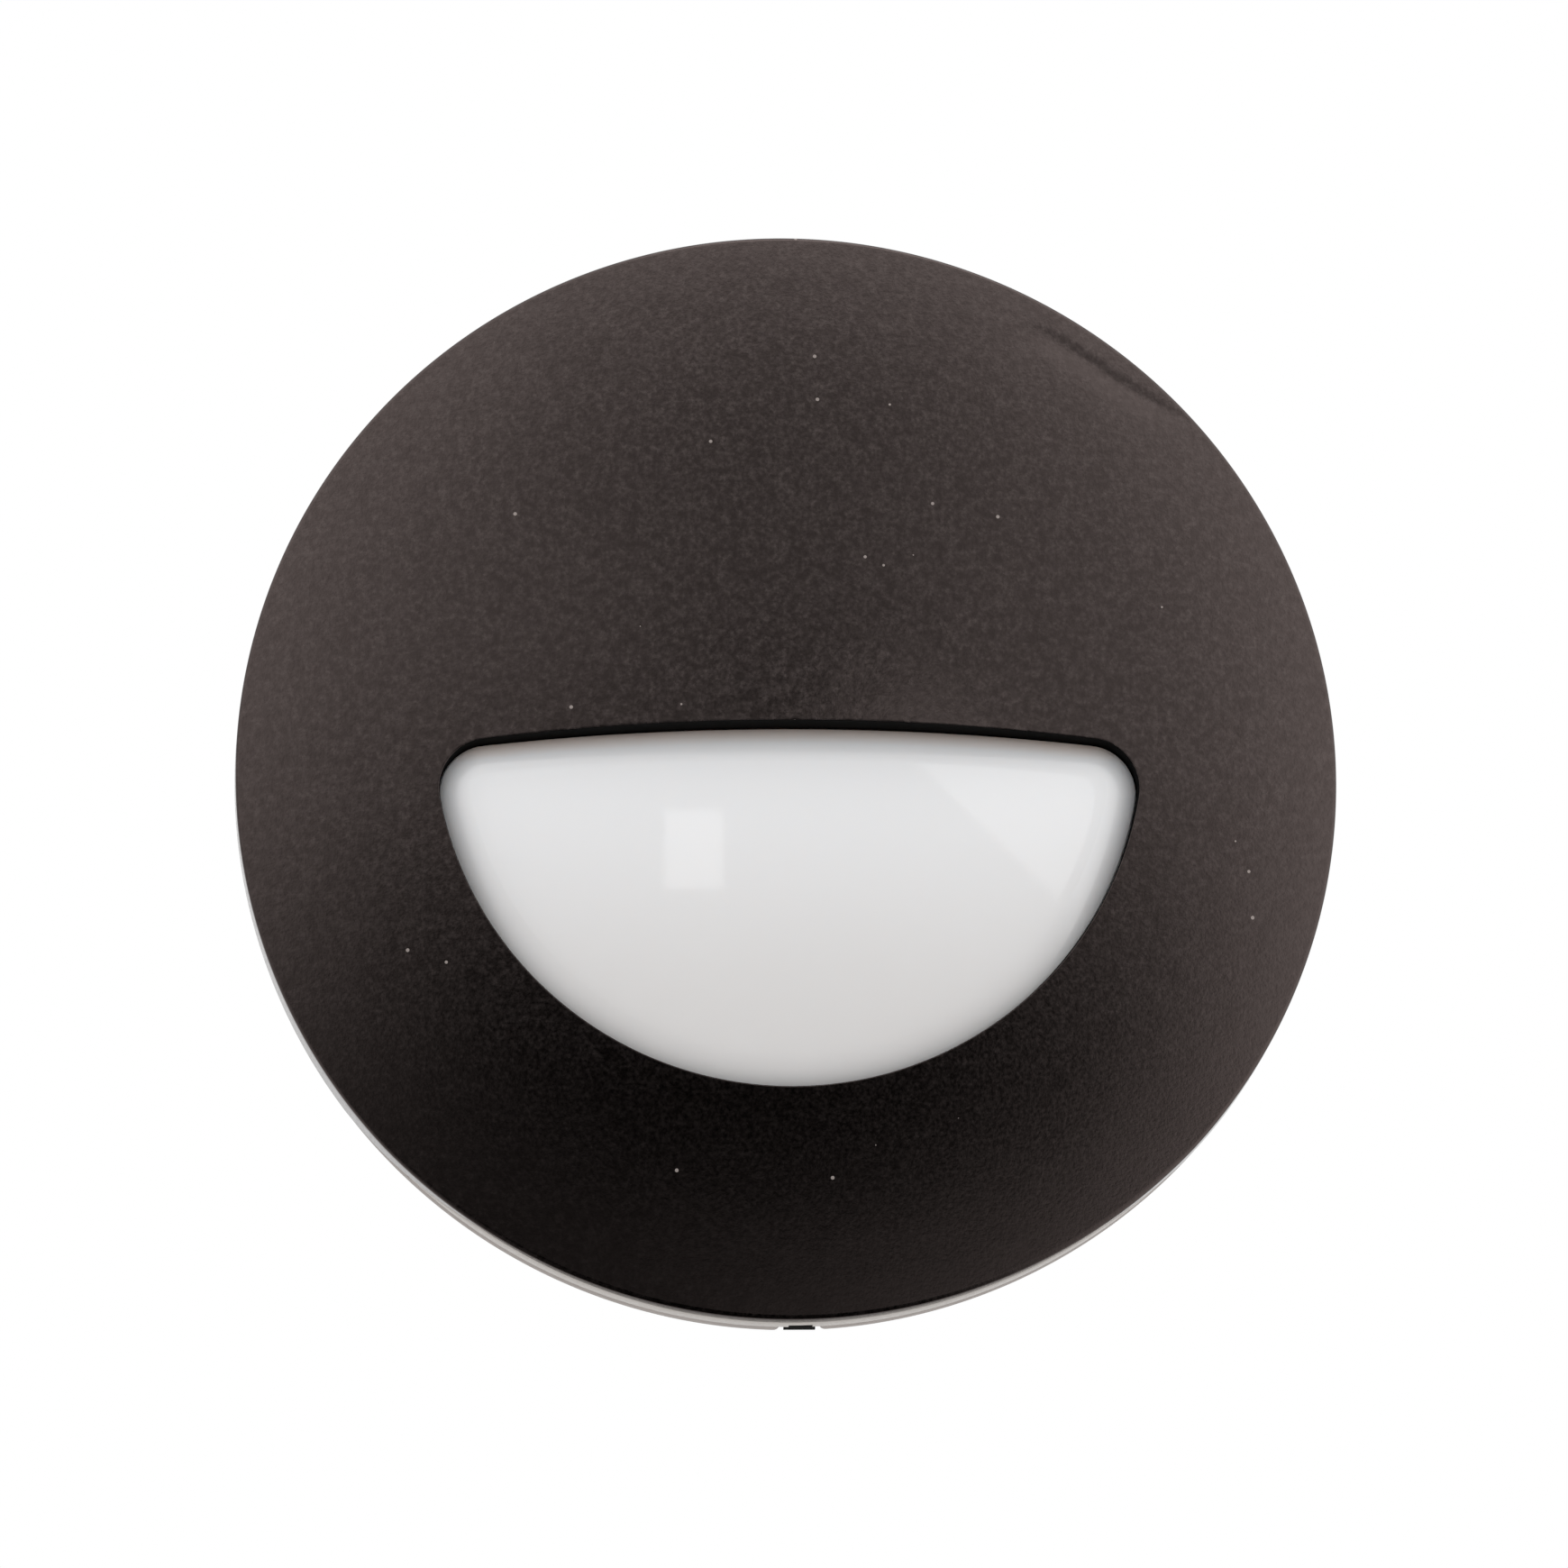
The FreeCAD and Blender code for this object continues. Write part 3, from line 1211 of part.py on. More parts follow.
face_cover()
diffuser_lens()
lens_screws()
lens_gasket()
housing()
wall_gasket()
reflector()
board_stack()
leads()
driver()
terminals()
rear_cap()
gland()
spring_clips()
check_and_export()
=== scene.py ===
import bpy
import bmesh
import json
import math
from mathutils import Matrix, Vector, noise

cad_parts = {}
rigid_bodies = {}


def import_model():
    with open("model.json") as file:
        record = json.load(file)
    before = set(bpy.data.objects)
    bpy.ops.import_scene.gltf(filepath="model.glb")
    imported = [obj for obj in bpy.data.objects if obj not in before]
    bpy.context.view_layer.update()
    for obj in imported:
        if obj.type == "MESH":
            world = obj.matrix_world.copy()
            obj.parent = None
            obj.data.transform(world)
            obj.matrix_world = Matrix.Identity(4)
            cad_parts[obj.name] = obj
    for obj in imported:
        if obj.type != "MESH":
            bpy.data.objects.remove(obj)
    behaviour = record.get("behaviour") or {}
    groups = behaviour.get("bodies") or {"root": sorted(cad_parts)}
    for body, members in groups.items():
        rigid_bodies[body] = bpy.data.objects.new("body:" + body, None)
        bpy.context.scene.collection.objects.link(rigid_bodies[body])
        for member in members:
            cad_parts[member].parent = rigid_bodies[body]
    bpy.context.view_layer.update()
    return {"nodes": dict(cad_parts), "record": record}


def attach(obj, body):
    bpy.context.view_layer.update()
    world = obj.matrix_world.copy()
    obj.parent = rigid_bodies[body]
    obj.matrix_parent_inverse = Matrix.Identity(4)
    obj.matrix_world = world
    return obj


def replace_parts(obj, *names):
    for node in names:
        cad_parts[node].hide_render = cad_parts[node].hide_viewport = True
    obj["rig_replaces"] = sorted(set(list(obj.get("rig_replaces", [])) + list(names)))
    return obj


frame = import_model()

# Sizes in millimetres, angles in degrees, in the frame of the model: X right, Y into the wall, Z up. The wall's
# face is at Y 0, so what stands out from the wall has a negative Y. Sections are lists of (radius, y, round).
MM = 0.001
STEPS_ROUND = 720

# Cover: a shallow dome on a skirt, with the eyelid opening, its collar, three snap pegs and three bosses
FACE_RADIUS = 40.0
RIM_DEPTH = 4.2
DOME_HEIGHT = 5.3
DOME_RADIUS = (FACE_RADIUS ** 2 + DOME_HEIGHT ** 2) / (2 * DOME_HEIGHT)
DOME_CENTRE = DOME_RADIUS - RIM_DEPTH - DOME_HEIGHT
FACE_ROWS = 128
COVER_WALL = 1.6
SKIRT_WALL = 1.4
SKIRT_SETBACK = 0.3
SKIRT_BLEND = 1.2
RIM_ROUND = 0.25
RIM_STEPS = 6
LIP_ROUND = 0.05
LIP_STEPS = 6
COLLAR_WALL = 1.1
BOSS_SINK = 0.6
BOSS_RADIUS = 2.3
PEG_RADIUS = 1.6
PEG_TAIL = [(1.6, 2.6, 0), (1.35, 2.8, 0), (1.35, 3.6, 0), (1.6, 3.8, 0), (1.6, 4.4, 0), (1.2, 5.0, 0), (0, 5.0, 0)]
PEGS = ((0.0, -25.9), (17.5, 18.0), (-17.5, 18.0))
LENS_SCREWS = ((-12.0, 12.0), (12.0, 12.0), (0.0, 22.0))

# Lining of the opening's wall, a thin skin rooted in the collar that carries painted shade: (inset, depth below the
# lip)
LINING = 0.03
LINING_SECTION = ((LINING, 0.02), (LINING, 1.6), (LINING, 3.2), (-0.5, 3.2), (-0.5, 1.6), (-0.5, 0.6))

# Eyelid opening: a low arc, a nearly straight brow and two corners, traced by rays from one middle point
EYELID_RADIUS = 25.7
EYELID_TOP_UP = 3.25
EYELID_TOP_RADIUS = 225.0
EYELID_CORNER = 3.6
LOW_CENTRE = Vector((0, 2.4))
TOP_CENTRE = Vector((0, EYELID_TOP_UP - EYELID_TOP_RADIUS))
RAY_MIDDLE = Vector((0, -6.0))

# Relief at the bottom of the skirt, where the silver key shows; the rim is drawn in above it
RELIEF_LAND = 0.3
RELIEF_ROOF_HALF = 22.4
RELIEF_BACK_HALF = 32.8
RELIEF_ROOF = RELIEF_LAND - RIM_DEPTH
RELIEF_SLOPE = (RELIEF_BACK_HALF - RELIEF_ROOF_HALF) / (RIM_DEPTH - RELIEF_LAND)
RELIEF_TURN = 47.0
RELIEF_SHRINK = 0.22
PART_GAP = 0.3

# Faint waviness of the thin moulding, and the press mark near the upper right edge
WAVE_BASE = 0.017
WAVE_HEIGHT, WAVE_LENGTH = 0.012, 9.0
RIPPLE_HEIGHT, RIPPLE_LENGTH = 0.005, 2.6
WAVE_FADE = 4.0
CREASE_START, CREASE_END = Vector((17.1, 32.8)), Vector((29.2, 25.6))
CREASE_OFFSET, CREASE_BOW = 0.9, 0.15
CREASE_DEPTH = 0.055
CREASE_HALF = 0.3
CREASE_FADE = 3.0

# Lens: a plate behind the cover, and its raised window
LENS_PLATE_RADIUS = 28.8
LENS_PLATE_FRONT = -4.6
LENS_PLATE_BACK = -3.4
LENS_PLATE_EDGE = 0.1
LENS_EDGE_GAP = 0.15
LENS_RISE = 2.6
LENS_SHOULDER = 2.2
LENS_SHOULDER_DROP = 0.9
LENS_SHOULDER_STEPS = 16
LENS_ROWS = 24
LENS_WALL = 1.8
LENS_DOME_RADIUS = 325.0

# Housing: flange with its bottom key, neck and cup, then the barrel with fins, lugs and cap
FLANGE_EDGE_RADIUS = 38.3
KEY_RADIUS = FACE_RADIUS - 0.05
KEY_ROUND = 0.14
RECESS_RADIUS = 29.1
RECESS_FLOOR = -2.4
NECK_RADIUS = 30.0
NECK_BACK = 11.0
CUP_RADIUS = 26.9
CUP_FLOOR = 8.5
BARREL_RADIUS = 25.5
BARREL_FLAT = 22.5
BARREL_FRONT = NECK_BACK - 1.5
BARREL_BACK = 28.0
BARREL_STEPS = 360
CHAMBER_RADIUS = 20.5
FIN_ROOT, FIN_TIP = 21.8, 28.5
FIN_FRONT, FIN_BACK = 12.5, 27.0
FIN_HALF = 0.6
FIN_TAPER = 0.22
FIN_TURN = 12
LUG_THICK = 2.0
LUG_LOWS = (6.2, -8.2)
CAP_BACK = 30.5
CAP_SCREW_ANGLES = (45, 135, 225, 315)
CAP_SCREW_CIRCLE = 23
GLAND_UP = -8.0
GLAND_FLATS = 15.0

# Wall gasket, and the drain notch that runs through it into the key
GASKET = 1.6
GASKET_INNER = 31.0
GASKET_ROUND = 0.12
NOTCH_HALF = 1.4
NOTCH_SIDE = 0.7
NOTCH_CORE = 0.85
NOTCH_DEPTH = 1.2
NOTCH_FRONT = -2.6
NOTCH_TOP_RADIUS = 35.38
NOTCH_CURL = 0.5

# Screws and spring clips
CROSS_HALF = 0.22
CROSS_DEPTH = 0.45
PIVOT_OUT = 25.3
PIVOT_BACK = 18.2
EYE_RADIUS = 2.4
CLIP_REST_ANGLE = 30.0
CLIP_HALF = 5.9
CHEEK = 1.0
SPRING_RADIUS = 2.2
SPRING_WIRE = 0.4
SPRING_TURNS = 5
SPRING_LENGTH = 7.0


# Shaders

def linear(code):
    """Linear colour from an sRGB hex value."""
    channels = [int(code[place:place + 2], 16) / 255 for place in (1, 3, 5)]
    return [c / 12.92 if c <= 0.04045 else ((c + 0.055) / 1.055) ** 2.4 for c in channels] + [1.0]


def shade(tree, kind, inputs=None, **settings):
    """Add a shader node; inputs maps sockets to values or to other nodes' outputs."""
    made = tree.nodes.new("ShaderNode" + kind)
    for key, value in settings.items():
        setattr(made, key, value)
    for key, value in (inputs or {}).items():
        if isinstance(value, bpy.types.NodeSocket):
            tree.links.new(value, made.inputs[key])
        else:
            made.inputs[key].default_value = value
    return made


def math_of(tree, first, second, operation):
    return shade(tree, "Math", {0: first, 1: second}, operation=operation).outputs[0]


def ramp_of(tree, value, start, end, low=0.0, high=1.0, **settings):
    """Value that runs from low to high while the input runs from start to end, and stays there."""
    inputs = {"Value": value, "From Min": start, "From Max": end, "To Min": low, "To Max": high}
    return shade(tree, "MapRange", inputs, **settings).outputs[0]


def blend_colours(tree, share, first, second):
    """Colour that runs from the first to the second with the share."""
    return shade(tree, "Mix", {0: share, 6: first, 7: second}, data_type="RGBA").outputs[2]


def finish(name, base, tint, roughness, grain, relief, patch=6.0, spread=0.12, stretch=(1, 1, 1), **shader):
    """Surface with patches of a second colour, a fine grain in relief and an uneven gloss.

    grain and patch are the real sizes of the relief and of the patches, relief its height, in millimetres.
    """
    material = bpy.data.materials.new(name)
    material.use_nodes = True
    tree = material.node_tree
    tree.nodes.clear()
    spot = shade(tree, "TexCoord").outputs["Object"]
    along = shade(tree, "Mapping", {"Vector": spot, "Scale": stretch}).outputs["Vector"]
    patches = shade(tree, "TexNoise", {"Vector": spot, "Scale": 1 / (patch * MM), "Detail": 3.0}).outputs["Fac"]
    grains = shade(tree, "TexNoise", {"Vector": along, "Scale": 1 / (grain * MM), "Detail": 4.0,
                                      "Roughness": 0.6}).outputs["Fac"]
    tinted = math_of(tree, ramp_of(tree, patches, 0.35, 0.65), ramp_of(tree, grains, 0.3, 0.7), "MULTIPLY")
    gloss = ramp_of(tree, grains, 0.3, 0.7, max(roughness - spread, 0.02), min(roughness + spread, 1.0))
    bump = shade(tree, "Bump", {"Height": grains, "Distance": relief * MM})
    inputs = {"Base Color": blend_colours(tree, tinted, linear(base), linear(tint)), "Roughness": gloss,
              "Normal": bump.outputs[0]}
    inputs.update({key.replace("_", " "): value for key, value in shader.items()})
    surface = shade(tree, "BsdfPrincipled", inputs)
    shade(tree, "OutputMaterial", {"Surface": surface.outputs[0]})
    return material


def base_of(material):
    """What a further layer of colour needs: tree, base colour's socket, its colour so far, place and height."""
    tree = material.node_tree
    base = next(node for node in tree.nodes if node.type == "BSDF_PRINCIPLED").inputs["Base Color"]
    spot = shade(tree, "TexCoord").outputs["Object"]
    height = shade(tree, "SeparateXYZ", {0: spot}).outputs["Z"]
    return tree, base, base.links[0].from_socket, spot, height


def face_finish():
    """ABS moulded against a spark-eroded tool: a fine pebbled satin black with a brown cast.

    The pebbles scatter the light into a soft sheen with a fine mottle, and a few specks of dust catch it. Low down
    the base colour is painted darker, towards black: painted shade.
    """
    shade_from, mottle_left_in_painted_shade = -24, 0.15
    dust_every, dust_size = 3.7, 0.036
    material = finish("spark_textured_black_abs", "#000000", "#342f2e", 0.17, 0.28, 0.01, patch=0.6, spread=0.08,
                      Specular_IOR_Level=0.75, Specular_Tint=linear("#ffe6e0"))
    tree, base, colour, spot, height = base_of(material)
    # Painted shade: the base colour is full at the face's middle and falls to a small share of it at the bottom
    painted_shade_share = ramp_of(tree, height, shade_from * MM, 0.0, mottle_left_in_painted_shade)
    mottle_in_painted_shade = blend_colours(tree, painted_shade_share, linear("#000000"), colour)
    cells = shade(tree, "TexVoronoi", {"Vector": spot, "Scale": 1 / (dust_every * MM), "Randomness": 1.0})
    speck = math_of(tree, cells.outputs["Distance"], dust_size, "LESS_THAN")
    tree.links.new(blend_colours(tree, speck, mottle_in_painted_shade, linear("#8c8480")), base)
    return material


def opal_finish():
    """Opal polycarbonate from a polished tool: milky, high gloss, with light carried just under the skin.

    The colour is painted paler and cooler towards the top of the window, as painted light from above, and warmer
    and a little darker in a thin band right under the brow, as painted shade.
    """
    painted_light_from, painted_light_to = -20, 2
    brow_shade_from, brow_shade_to = 1.3, 0.2
    material = finish("polished_opal_polycarbonate", "#d9d7d6", "#dbd9d8", 0.03, 3.0, 0.001, patch=14.0,
                      spread=0.01, Subsurface_Weight=0.6, Subsurface_Scale=0.0018,
                      Subsurface_Radius=(1.0, 0.93, 0.88))
    tree, base, colour, spot, height = base_of(material)
    # Painted light: the colour turns paler towards the top of the window
    rise = ramp_of(tree, height, painted_light_from * MM, painted_light_to * MM, interpolation_type="SMOOTHSTEP")
    paler = blend_colours(tree, rise, colour, linear("#eaeaeb"))
    # Painted shade: a warm, slightly darker band along the line of the brow
    brow = (0.0, 0.0, TOP_CENTRE.y * MM)
    upright = shade(tree, "VectorMath", {0: spot, 1: (1.0, 0.0, 1.0)}, operation="MULTIPLY").outputs[0]
    reach = shade(tree, "VectorMath", {0: upright, 1: brow}, operation="DISTANCE").outputs["Value"]
    past = math_of(tree, reach, EYELID_TOP_RADIUS * MM, "SUBTRACT")
    off = shade(tree, "Math", {0: past}, operation="ABSOLUTE").outputs[0]
    under = ramp_of(tree, off, brow_shade_from * MM, brow_shade_to * MM)
    tree.links.new(blend_colours(tree, under, paler, linear("#e9d9cf")), base)
    return material


MATERIALS = {
    "face_plastic": face_finish(),
    "opal_lens": opal_finish(),
    # Die casting under silver paint: a soft light grey with a faint sparkle
    "cast_alloy": finish("silver_painted_die_casting", "#aba5a0", "#b4aeaa", 0.4, 0.3, 0.008, patch=4.0,
                         Metallic=0.6),
    # Silicone moulding: matt warm grey
    "grey_silicone": finish("moulded_grey_silicone", "#938b87", "#9c9490", 0.7, 0.25, 0.008, patch=3.0),
    # Nitrile rubber: matt black from the mould
    "black_rubber": finish("moulded_nitrile_rubber", "#101010", "#1b1a1a", 0.7, 0.25, 0.01, patch=3.0),
    # White polycarbonate: a satin moulding that throws the light forwards
    "white_plastic": finish("moulded_white_polycarbonate", "#e3e2df", "#ecebe8", 0.3, 0.5, 0.004, patch=8.0),
    # Solder mask over fibre board: the weave shows faintly
    "led_board_white": finish("white_solder_mask", "#dddcd4", "#e8e7e0", 0.35, 0.4, 0.006, patch=2.0),
    # Yellow phosphor in cast resin
    "led_phosphor": finish("phosphor_resin", "#d9b23a", "#e6c65c", 0.4, 0.15, 0.01, patch=1.0),
    # Soft filled silicone sheet: matt, slightly speckled
    "thermal_pad_grey": finish("silicone_gap_pad", "#8b959b", "#98a2a7", 0.7, 0.2, 0.01, patch=2.0),
    # Zinc-plated steel: bright, with a faint drawn grain
    "plated_screw": finish("zinc_plated_steel", "#b9b9ba", "#c9c9cb", 0.28, 0.12, 0.004, patch=1.5, Metallic=1.0),
    # Nickel-plated spring steel, rolled: straight fine grain along the strip
    "spring_steel": finish("rolled_nickel_plated_steel", "#a6a4a0", "#bab8b3", 0.3, 0.1, 0.004, patch=3.0,
                           stretch=(1, 8, 1), Metallic=1.0),
    # Extruded lead insulation, red and black: smooth, with a dull gloss
    "red_lead": finish("red_lead_insulation", "#a3120f", "#b3201a", 0.4, 0.2, 0.004, patch=2.0),
    "black_lead": finish("black_lead_insulation", "#141414", "#1d1d1d", 0.4, 0.2, 0.004, patch=2.0),
    # Straw-coloured polyester film
    "insulation_film": finish("polyester_film", "#c9c4a8", "#d3ceb4", 0.25, 0.8, 0.003, patch=6.0),
    # Green solder mask over fibre board
    "driver_board_green": finish("green_solder_mask", "#0d4a26", "#15592f", 0.35, 0.4, 0.008, patch=2.0),
    # Moulded epoxy of the electronic parts: dull black
    "component_black": finish("moulded_epoxy", "#141414", "#1e1e1e", 0.55, 0.15, 0.008, patch=1.0),
    # Sleeve shrunk over the capacitor's can: smooth dark blue
    "capacitor_sleeve": finish("shrunk_pvc_sleeve", "#141a33", "#1b2240", 0.25, 0.5, 0.003, patch=3.0),
    # Enamelled wire, wound: a fine grain along the turns
    "copper_coil": finish("enamelled_copper", "#8f4a24", "#a65a2e", 0.3, 0.12, 0.02, patch=2.0,
                          stretch=(1, 6, 1), Metallic=0.9),
    # Glass tube of the fuse
    "fuse_glass": finish("fuse_glass", "#cfd8d6", "#dbe3e1", 0.05, 0.6, 0.001, patch=2.0),
    # Uncoloured nylon: a milky off-white
    "terminal_nylon": finish("natural_nylon", "#d6d4ca", "#e0ded4", 0.45, 0.3, 0.006, patch=3.0),
    # Glass-filled nylon: slightly cloudy black with a satin skin
    "gland_nylon": finish("black_glass_filled_nylon", "#151515", "#232221", 0.5, 0.2, 0.01, patch=2.5),
    # Vinyl dipped over the clip's end: soft black with slow runs
    "clip_sleeve_rubber": finish("dipped_black_vinyl", "#141313", "#1f1d1c", 0.45, 0.5, 0.012, patch=3.0),
}


# Painted shade on the opening's wall: a near-black skin with almost no gloss, which darkens the recess under the
# lip and keeps the wall from mirroring the light the polished lens throws on it
PAINTED_SHADE_WALL = finish("painted_shade_black_wall", "#020202", "#080706", 0.9, 0.25, 0.01, patch=2.0, spread=0.05,
                   Specular_IOR_Level=0.05)


# Shapes: each function gives (corners, faces), in millimetres

def skin(loops, joined=False, caps=True):
    """Quads between matching loops, with flat ends or joined round."""
    count = len(loops[0])
    corners = [point for loop in loops for point in loop]
    faces = []
    for row in range(len(loops) if joined else len(loops) - 1):
        here = row * count
        there = (row + 1) % len(loops) * count
        for index in range(count):
            after = (index + 1) % count
            faces.append((here + index, here + after, there + after, there + index))
    if caps and not joined:
        faces.append(tuple(range(count)))
        faces.append(tuple(range(len(corners) - count, len(corners))))
    return corners, faces


def moved(shape, matrix):
    return [matrix @ point for point in shape[0]], shape[1]


def softened(outline, steps=4):
    """Outline of (x, y, round) corners with each corner rounded by its own radius."""
    points = []
    for index, (x, y, size) in enumerate(outline):
        here = Vector((x, y))
        before = Vector(outline[index - 1][:2])
        after = Vector(outline[(index + 1) % len(outline)][:2])
        back = before - here
        on = after - here
        if size <= 0 or back.length * on.length == 0:
            points.append(here)
            continue
        angle = back.angle(on)
        reach = min(size / math.tan(angle / 2), back.length * 0.45, on.length * 0.45)
        radius = reach * math.tan(angle / 2)
        back.normalize()
        on.normalize()
        centre = here + (back + on).normalized() * (radius / math.sin(angle / 2))
        first = here + back * reach - centre
        last = here + on * reach - centre
        turn = math.atan2(first.x * last.y - first.y * last.x, first.dot(last))
        for step in range(steps + 1):
            points.append(centre + Matrix.Rotation(turn * step / steps, 2) @ first)
    return points


def turns(steps):
    """Angles of equal steps round a circle."""
    return [2 * math.pi * index / steps for index in range(steps)]


def ring(steps, y, reach_of, x=0.0, z=0.0):
    """Loop round an axis along Y; reach_of(angle) is its radius."""
    return [Vector((x + reach_of(a) * math.cos(a), y, z + reach_of(a) * math.sin(a))) for a in turns(steps)]


def lathe(section, steps=256, x=0.0, z=0.0):
    """Round solid about Y from a closed half section."""
    return skin([ring(steps, y, lambda angle: radius, x, z) for radius, y in softened(section)], joined=True)


def prism(outline, low, high, edge=0.15, steps=3):
    """Slab with the outline in X and Y, between two heights in Z, with rounded edges."""
    points = softened(outline) if len(outline[0]) == 3 else [Vector(point) for point in outline]
    count = len(points)
    area = sum(a.x * b.y - a.y * b.x for a, b in zip(points, points[1:] + points[:1]))
    turn = 1 if area > 0 else -1
    inward = []
    for index, here in enumerate(points):
        first = here - points[index - 1]
        second = points[(index + 1) % count] - here
        first = first.normalized() if first.length else second.normalized()
        second = second.normalized() if second.length else first
        across = (Vector((-first.y, first.x)) + Vector((-second.y, second.x))).normalized()
        lean = max(across.dot(Vector((-second.y, second.x))), 0.5)
        inward.append(across * turn / lean)
    loops = []
    for end, sign in ((low, 1), (high, -1)):
        rows = []
        for step in range(steps + 1):
            angle = math.pi / 2 * step / steps
            inset = edge * (1 - math.sin(angle))
            height = end + sign * edge * (1 - math.cos(angle))
            rows.append([Vector((p.x + n.x * inset, p.y + n.y * inset, height)) for p, n in zip(points, inward)])
        loops += rows if sign > 0 else rows[::-1]
    return skin(loops)


def box(left, right, front, back, low, high, edge=0.15):
    return prism([(left, front), (right, front), (right, back), (left, back)], low, high, edge)


def tube(points, radius, sides=14):
    """Round wire along a list of points."""
    loops = []
    side = None
    for index, here in enumerate(points):
        before = points[max(index - 1, 0)]
        after = points[min(index + 1, len(points) - 1)]
        way = (after - before).normalized()
        side = way.orthogonal().normalized() if side is None else (side - way * side.dot(way)).normalized()
        other = way.cross(side)
        loops.append([here + radius * (side * math.cos(a) + other * math.sin(a)) for a in turns(sides)])
    return skin(loops)


# Objects

def added(name, data):
    """New object of the scene with the given mesh, lamp or camera."""
    made = bpy.data.objects.new(name, data)
    bpy.context.scene.collection.objects.link(made)
    return made


def shade_smooth(mesh, sharp):
    """Smooth shading up to an angle between faces."""
    mesh.polygons.foreach_set("use_smooth", [True] * len(mesh.polygons))
    mesh.set_sharp_from_angle(angle=math.radians(sharp))


def solid(name, shapes, sharp):
    """Mesh object in metres from shapes in millimetres, with poles merged and every face turned outwards."""
    corners = []
    faces = []
    for points, quads in shapes:
        start = len(corners)
        corners += [point * MM for point in points]
        faces += [tuple(start + corner for corner in face) for face in quads]
    mesh = bpy.data.meshes.new(name)
    mesh.from_pydata(corners, [], faces)
    work = bmesh.new()
    work.from_mesh(mesh)
    bmesh.ops.remove_doubles(work, verts=work.verts, dist=1e-7)
    bmesh.ops.dissolve_degenerate(work, edges=work.edges, dist=1e-8)
    bmesh.ops.recalc_face_normals(work, faces=work.faces)
    work.to_mesh(mesh)
    work.free()
    shade_smooth(mesh, sharp)
    return added(name, mesh)


def paint(made, material):
    made.data.materials.clear()
    made.data.materials.append(material)


def piece(name, body, slot, shapes, replaces, sharp=32.0):
    """Piece of the visual model that rides on a body and stands for CAD nodes."""
    made = solid(name, shapes, sharp)
    paint(made, MATERIALS[slot])
    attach(made, body)
    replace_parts(made, *replaces)
    return made


def dress(name):
    """Give a CAD node that is shown as it is the finish of its slot."""
    slot = next(part["material_slot"] for part in frame["record"]["subparts"] if part["node"] == name)
    paint(frame["nodes"][name], MATERIALS[slot])


def carve(target, cutters):
    """Cut loose objects out of a piece for good."""
    for cutter in cutters:
        cut = target.modifiers.new("cut", "BOOLEAN")
        cut.operation = "DIFFERENCE"
        cut.solver = "EXACT"
        cut.object = cutter
    graph = bpy.context.evaluated_depsgraph_get()
    mesh = bpy.data.meshes.new_from_object(target.evaluated_get(graph))
    target.modifiers.clear()
    target.data = mesh
    for cutter in cutters:
        bpy.data.objects.remove(cutter)


# Loops that the face and the lens share: reach functions take an angle, depth functions a radius and a place

def dome_at(radius, depth=0.0):
    """Y of the face's dome at a distance from the axis, or of a skin lying deeper by depth."""
    return DOME_CENTRE - math.sqrt((DOME_RADIUS - depth) ** 2 - radius ** 2)


def hit(angle, centre, radius):
    """How far a ray from the eyelid's middle runs before it leaves a circle."""
    way = Vector((math.cos(angle), math.sin(angle)))
    out = RAY_MIDDLE - centre
    along = out.dot(way)
    return -along + math.sqrt(along ** 2 - out.length_squared + radius ** 2)


def eyelid_corner_centre():
    """Middle of the right corner's circle, which touches the low arc and the brow from inside."""
    low_reach = EYELID_RADIUS - EYELID_CORNER
    top_reach = EYELID_TOP_RADIUS - EYELID_CORNER
    spread = LOW_CENTRE.y - TOP_CENTRE.y
    rise = (top_reach ** 2 - low_reach ** 2 - spread ** 2) / (2 * spread)
    return Vector((math.sqrt(low_reach ** 2 - rise ** 2), LOW_CENTRE.y + rise))


CORNER = eyelid_corner_centre()


def eyelid_reach(angle, inset):
    """Distance from the eyelid's middle to its outline, moved inwards by inset, along an angle."""
    side = angle if math.cos(angle) >= 0 else math.pi - angle
    side = (side + math.pi) % (2 * math.pi) - math.pi
    low_end = CORNER + (CORNER - LOW_CENTRE).normalized() * (EYELID_CORNER - inset) - RAY_MIDDLE
    top_end = CORNER + (CORNER - TOP_CENTRE).normalized() * (EYELID_CORNER - inset) - RAY_MIDDLE
    if side < math.atan2(low_end.y, low_end.x):
        return hit(side, LOW_CENTRE, EYELID_RADIUS - inset)
    if side > math.atan2(top_end.y, top_end.x):
        return hit(side, TOP_CENTRE, EYELID_TOP_RADIUS - inset)
    return hit(side, CORNER, EYELID_CORNER - inset)


def eyelid(inset, share=1.0):
    """Reach of the eyelid's outline moved inwards, or of a share of it."""
    return lambda angle: eyelid_reach(angle, inset) * share


def circle(radius):
    """Reach of a circle round the axis."""
    return lambda angle: hit(angle, Vector((0, 0)), radius)


def level(y):
    """Depth that is the same everywhere."""
    return lambda radius, flat: y


def between(first, second, share):
    """Function whose value lies at a share of the way from one function's value to another's."""
    def value(*place):
        start = first(*place)
        return start + (second(*place) - start) * share
    return value


def ray_point(angle, reach):
    return Vector((reach * math.cos(angle), RAY_MIDDLE.y + reach * math.sin(angle)))


def ray_loop(reach_of, y_of):
    """Loop of points: reach_of(angle) places each along its ray, y_of(radius, place) gives its depth."""
    loop = []
    for angle in turns(STEPS_ROUND):
        flat = ray_point(angle, reach_of(angle))
        loop.append(Vector((flat.x, y_of(flat.length, flat), flat.y)))
    return loop


# Cover

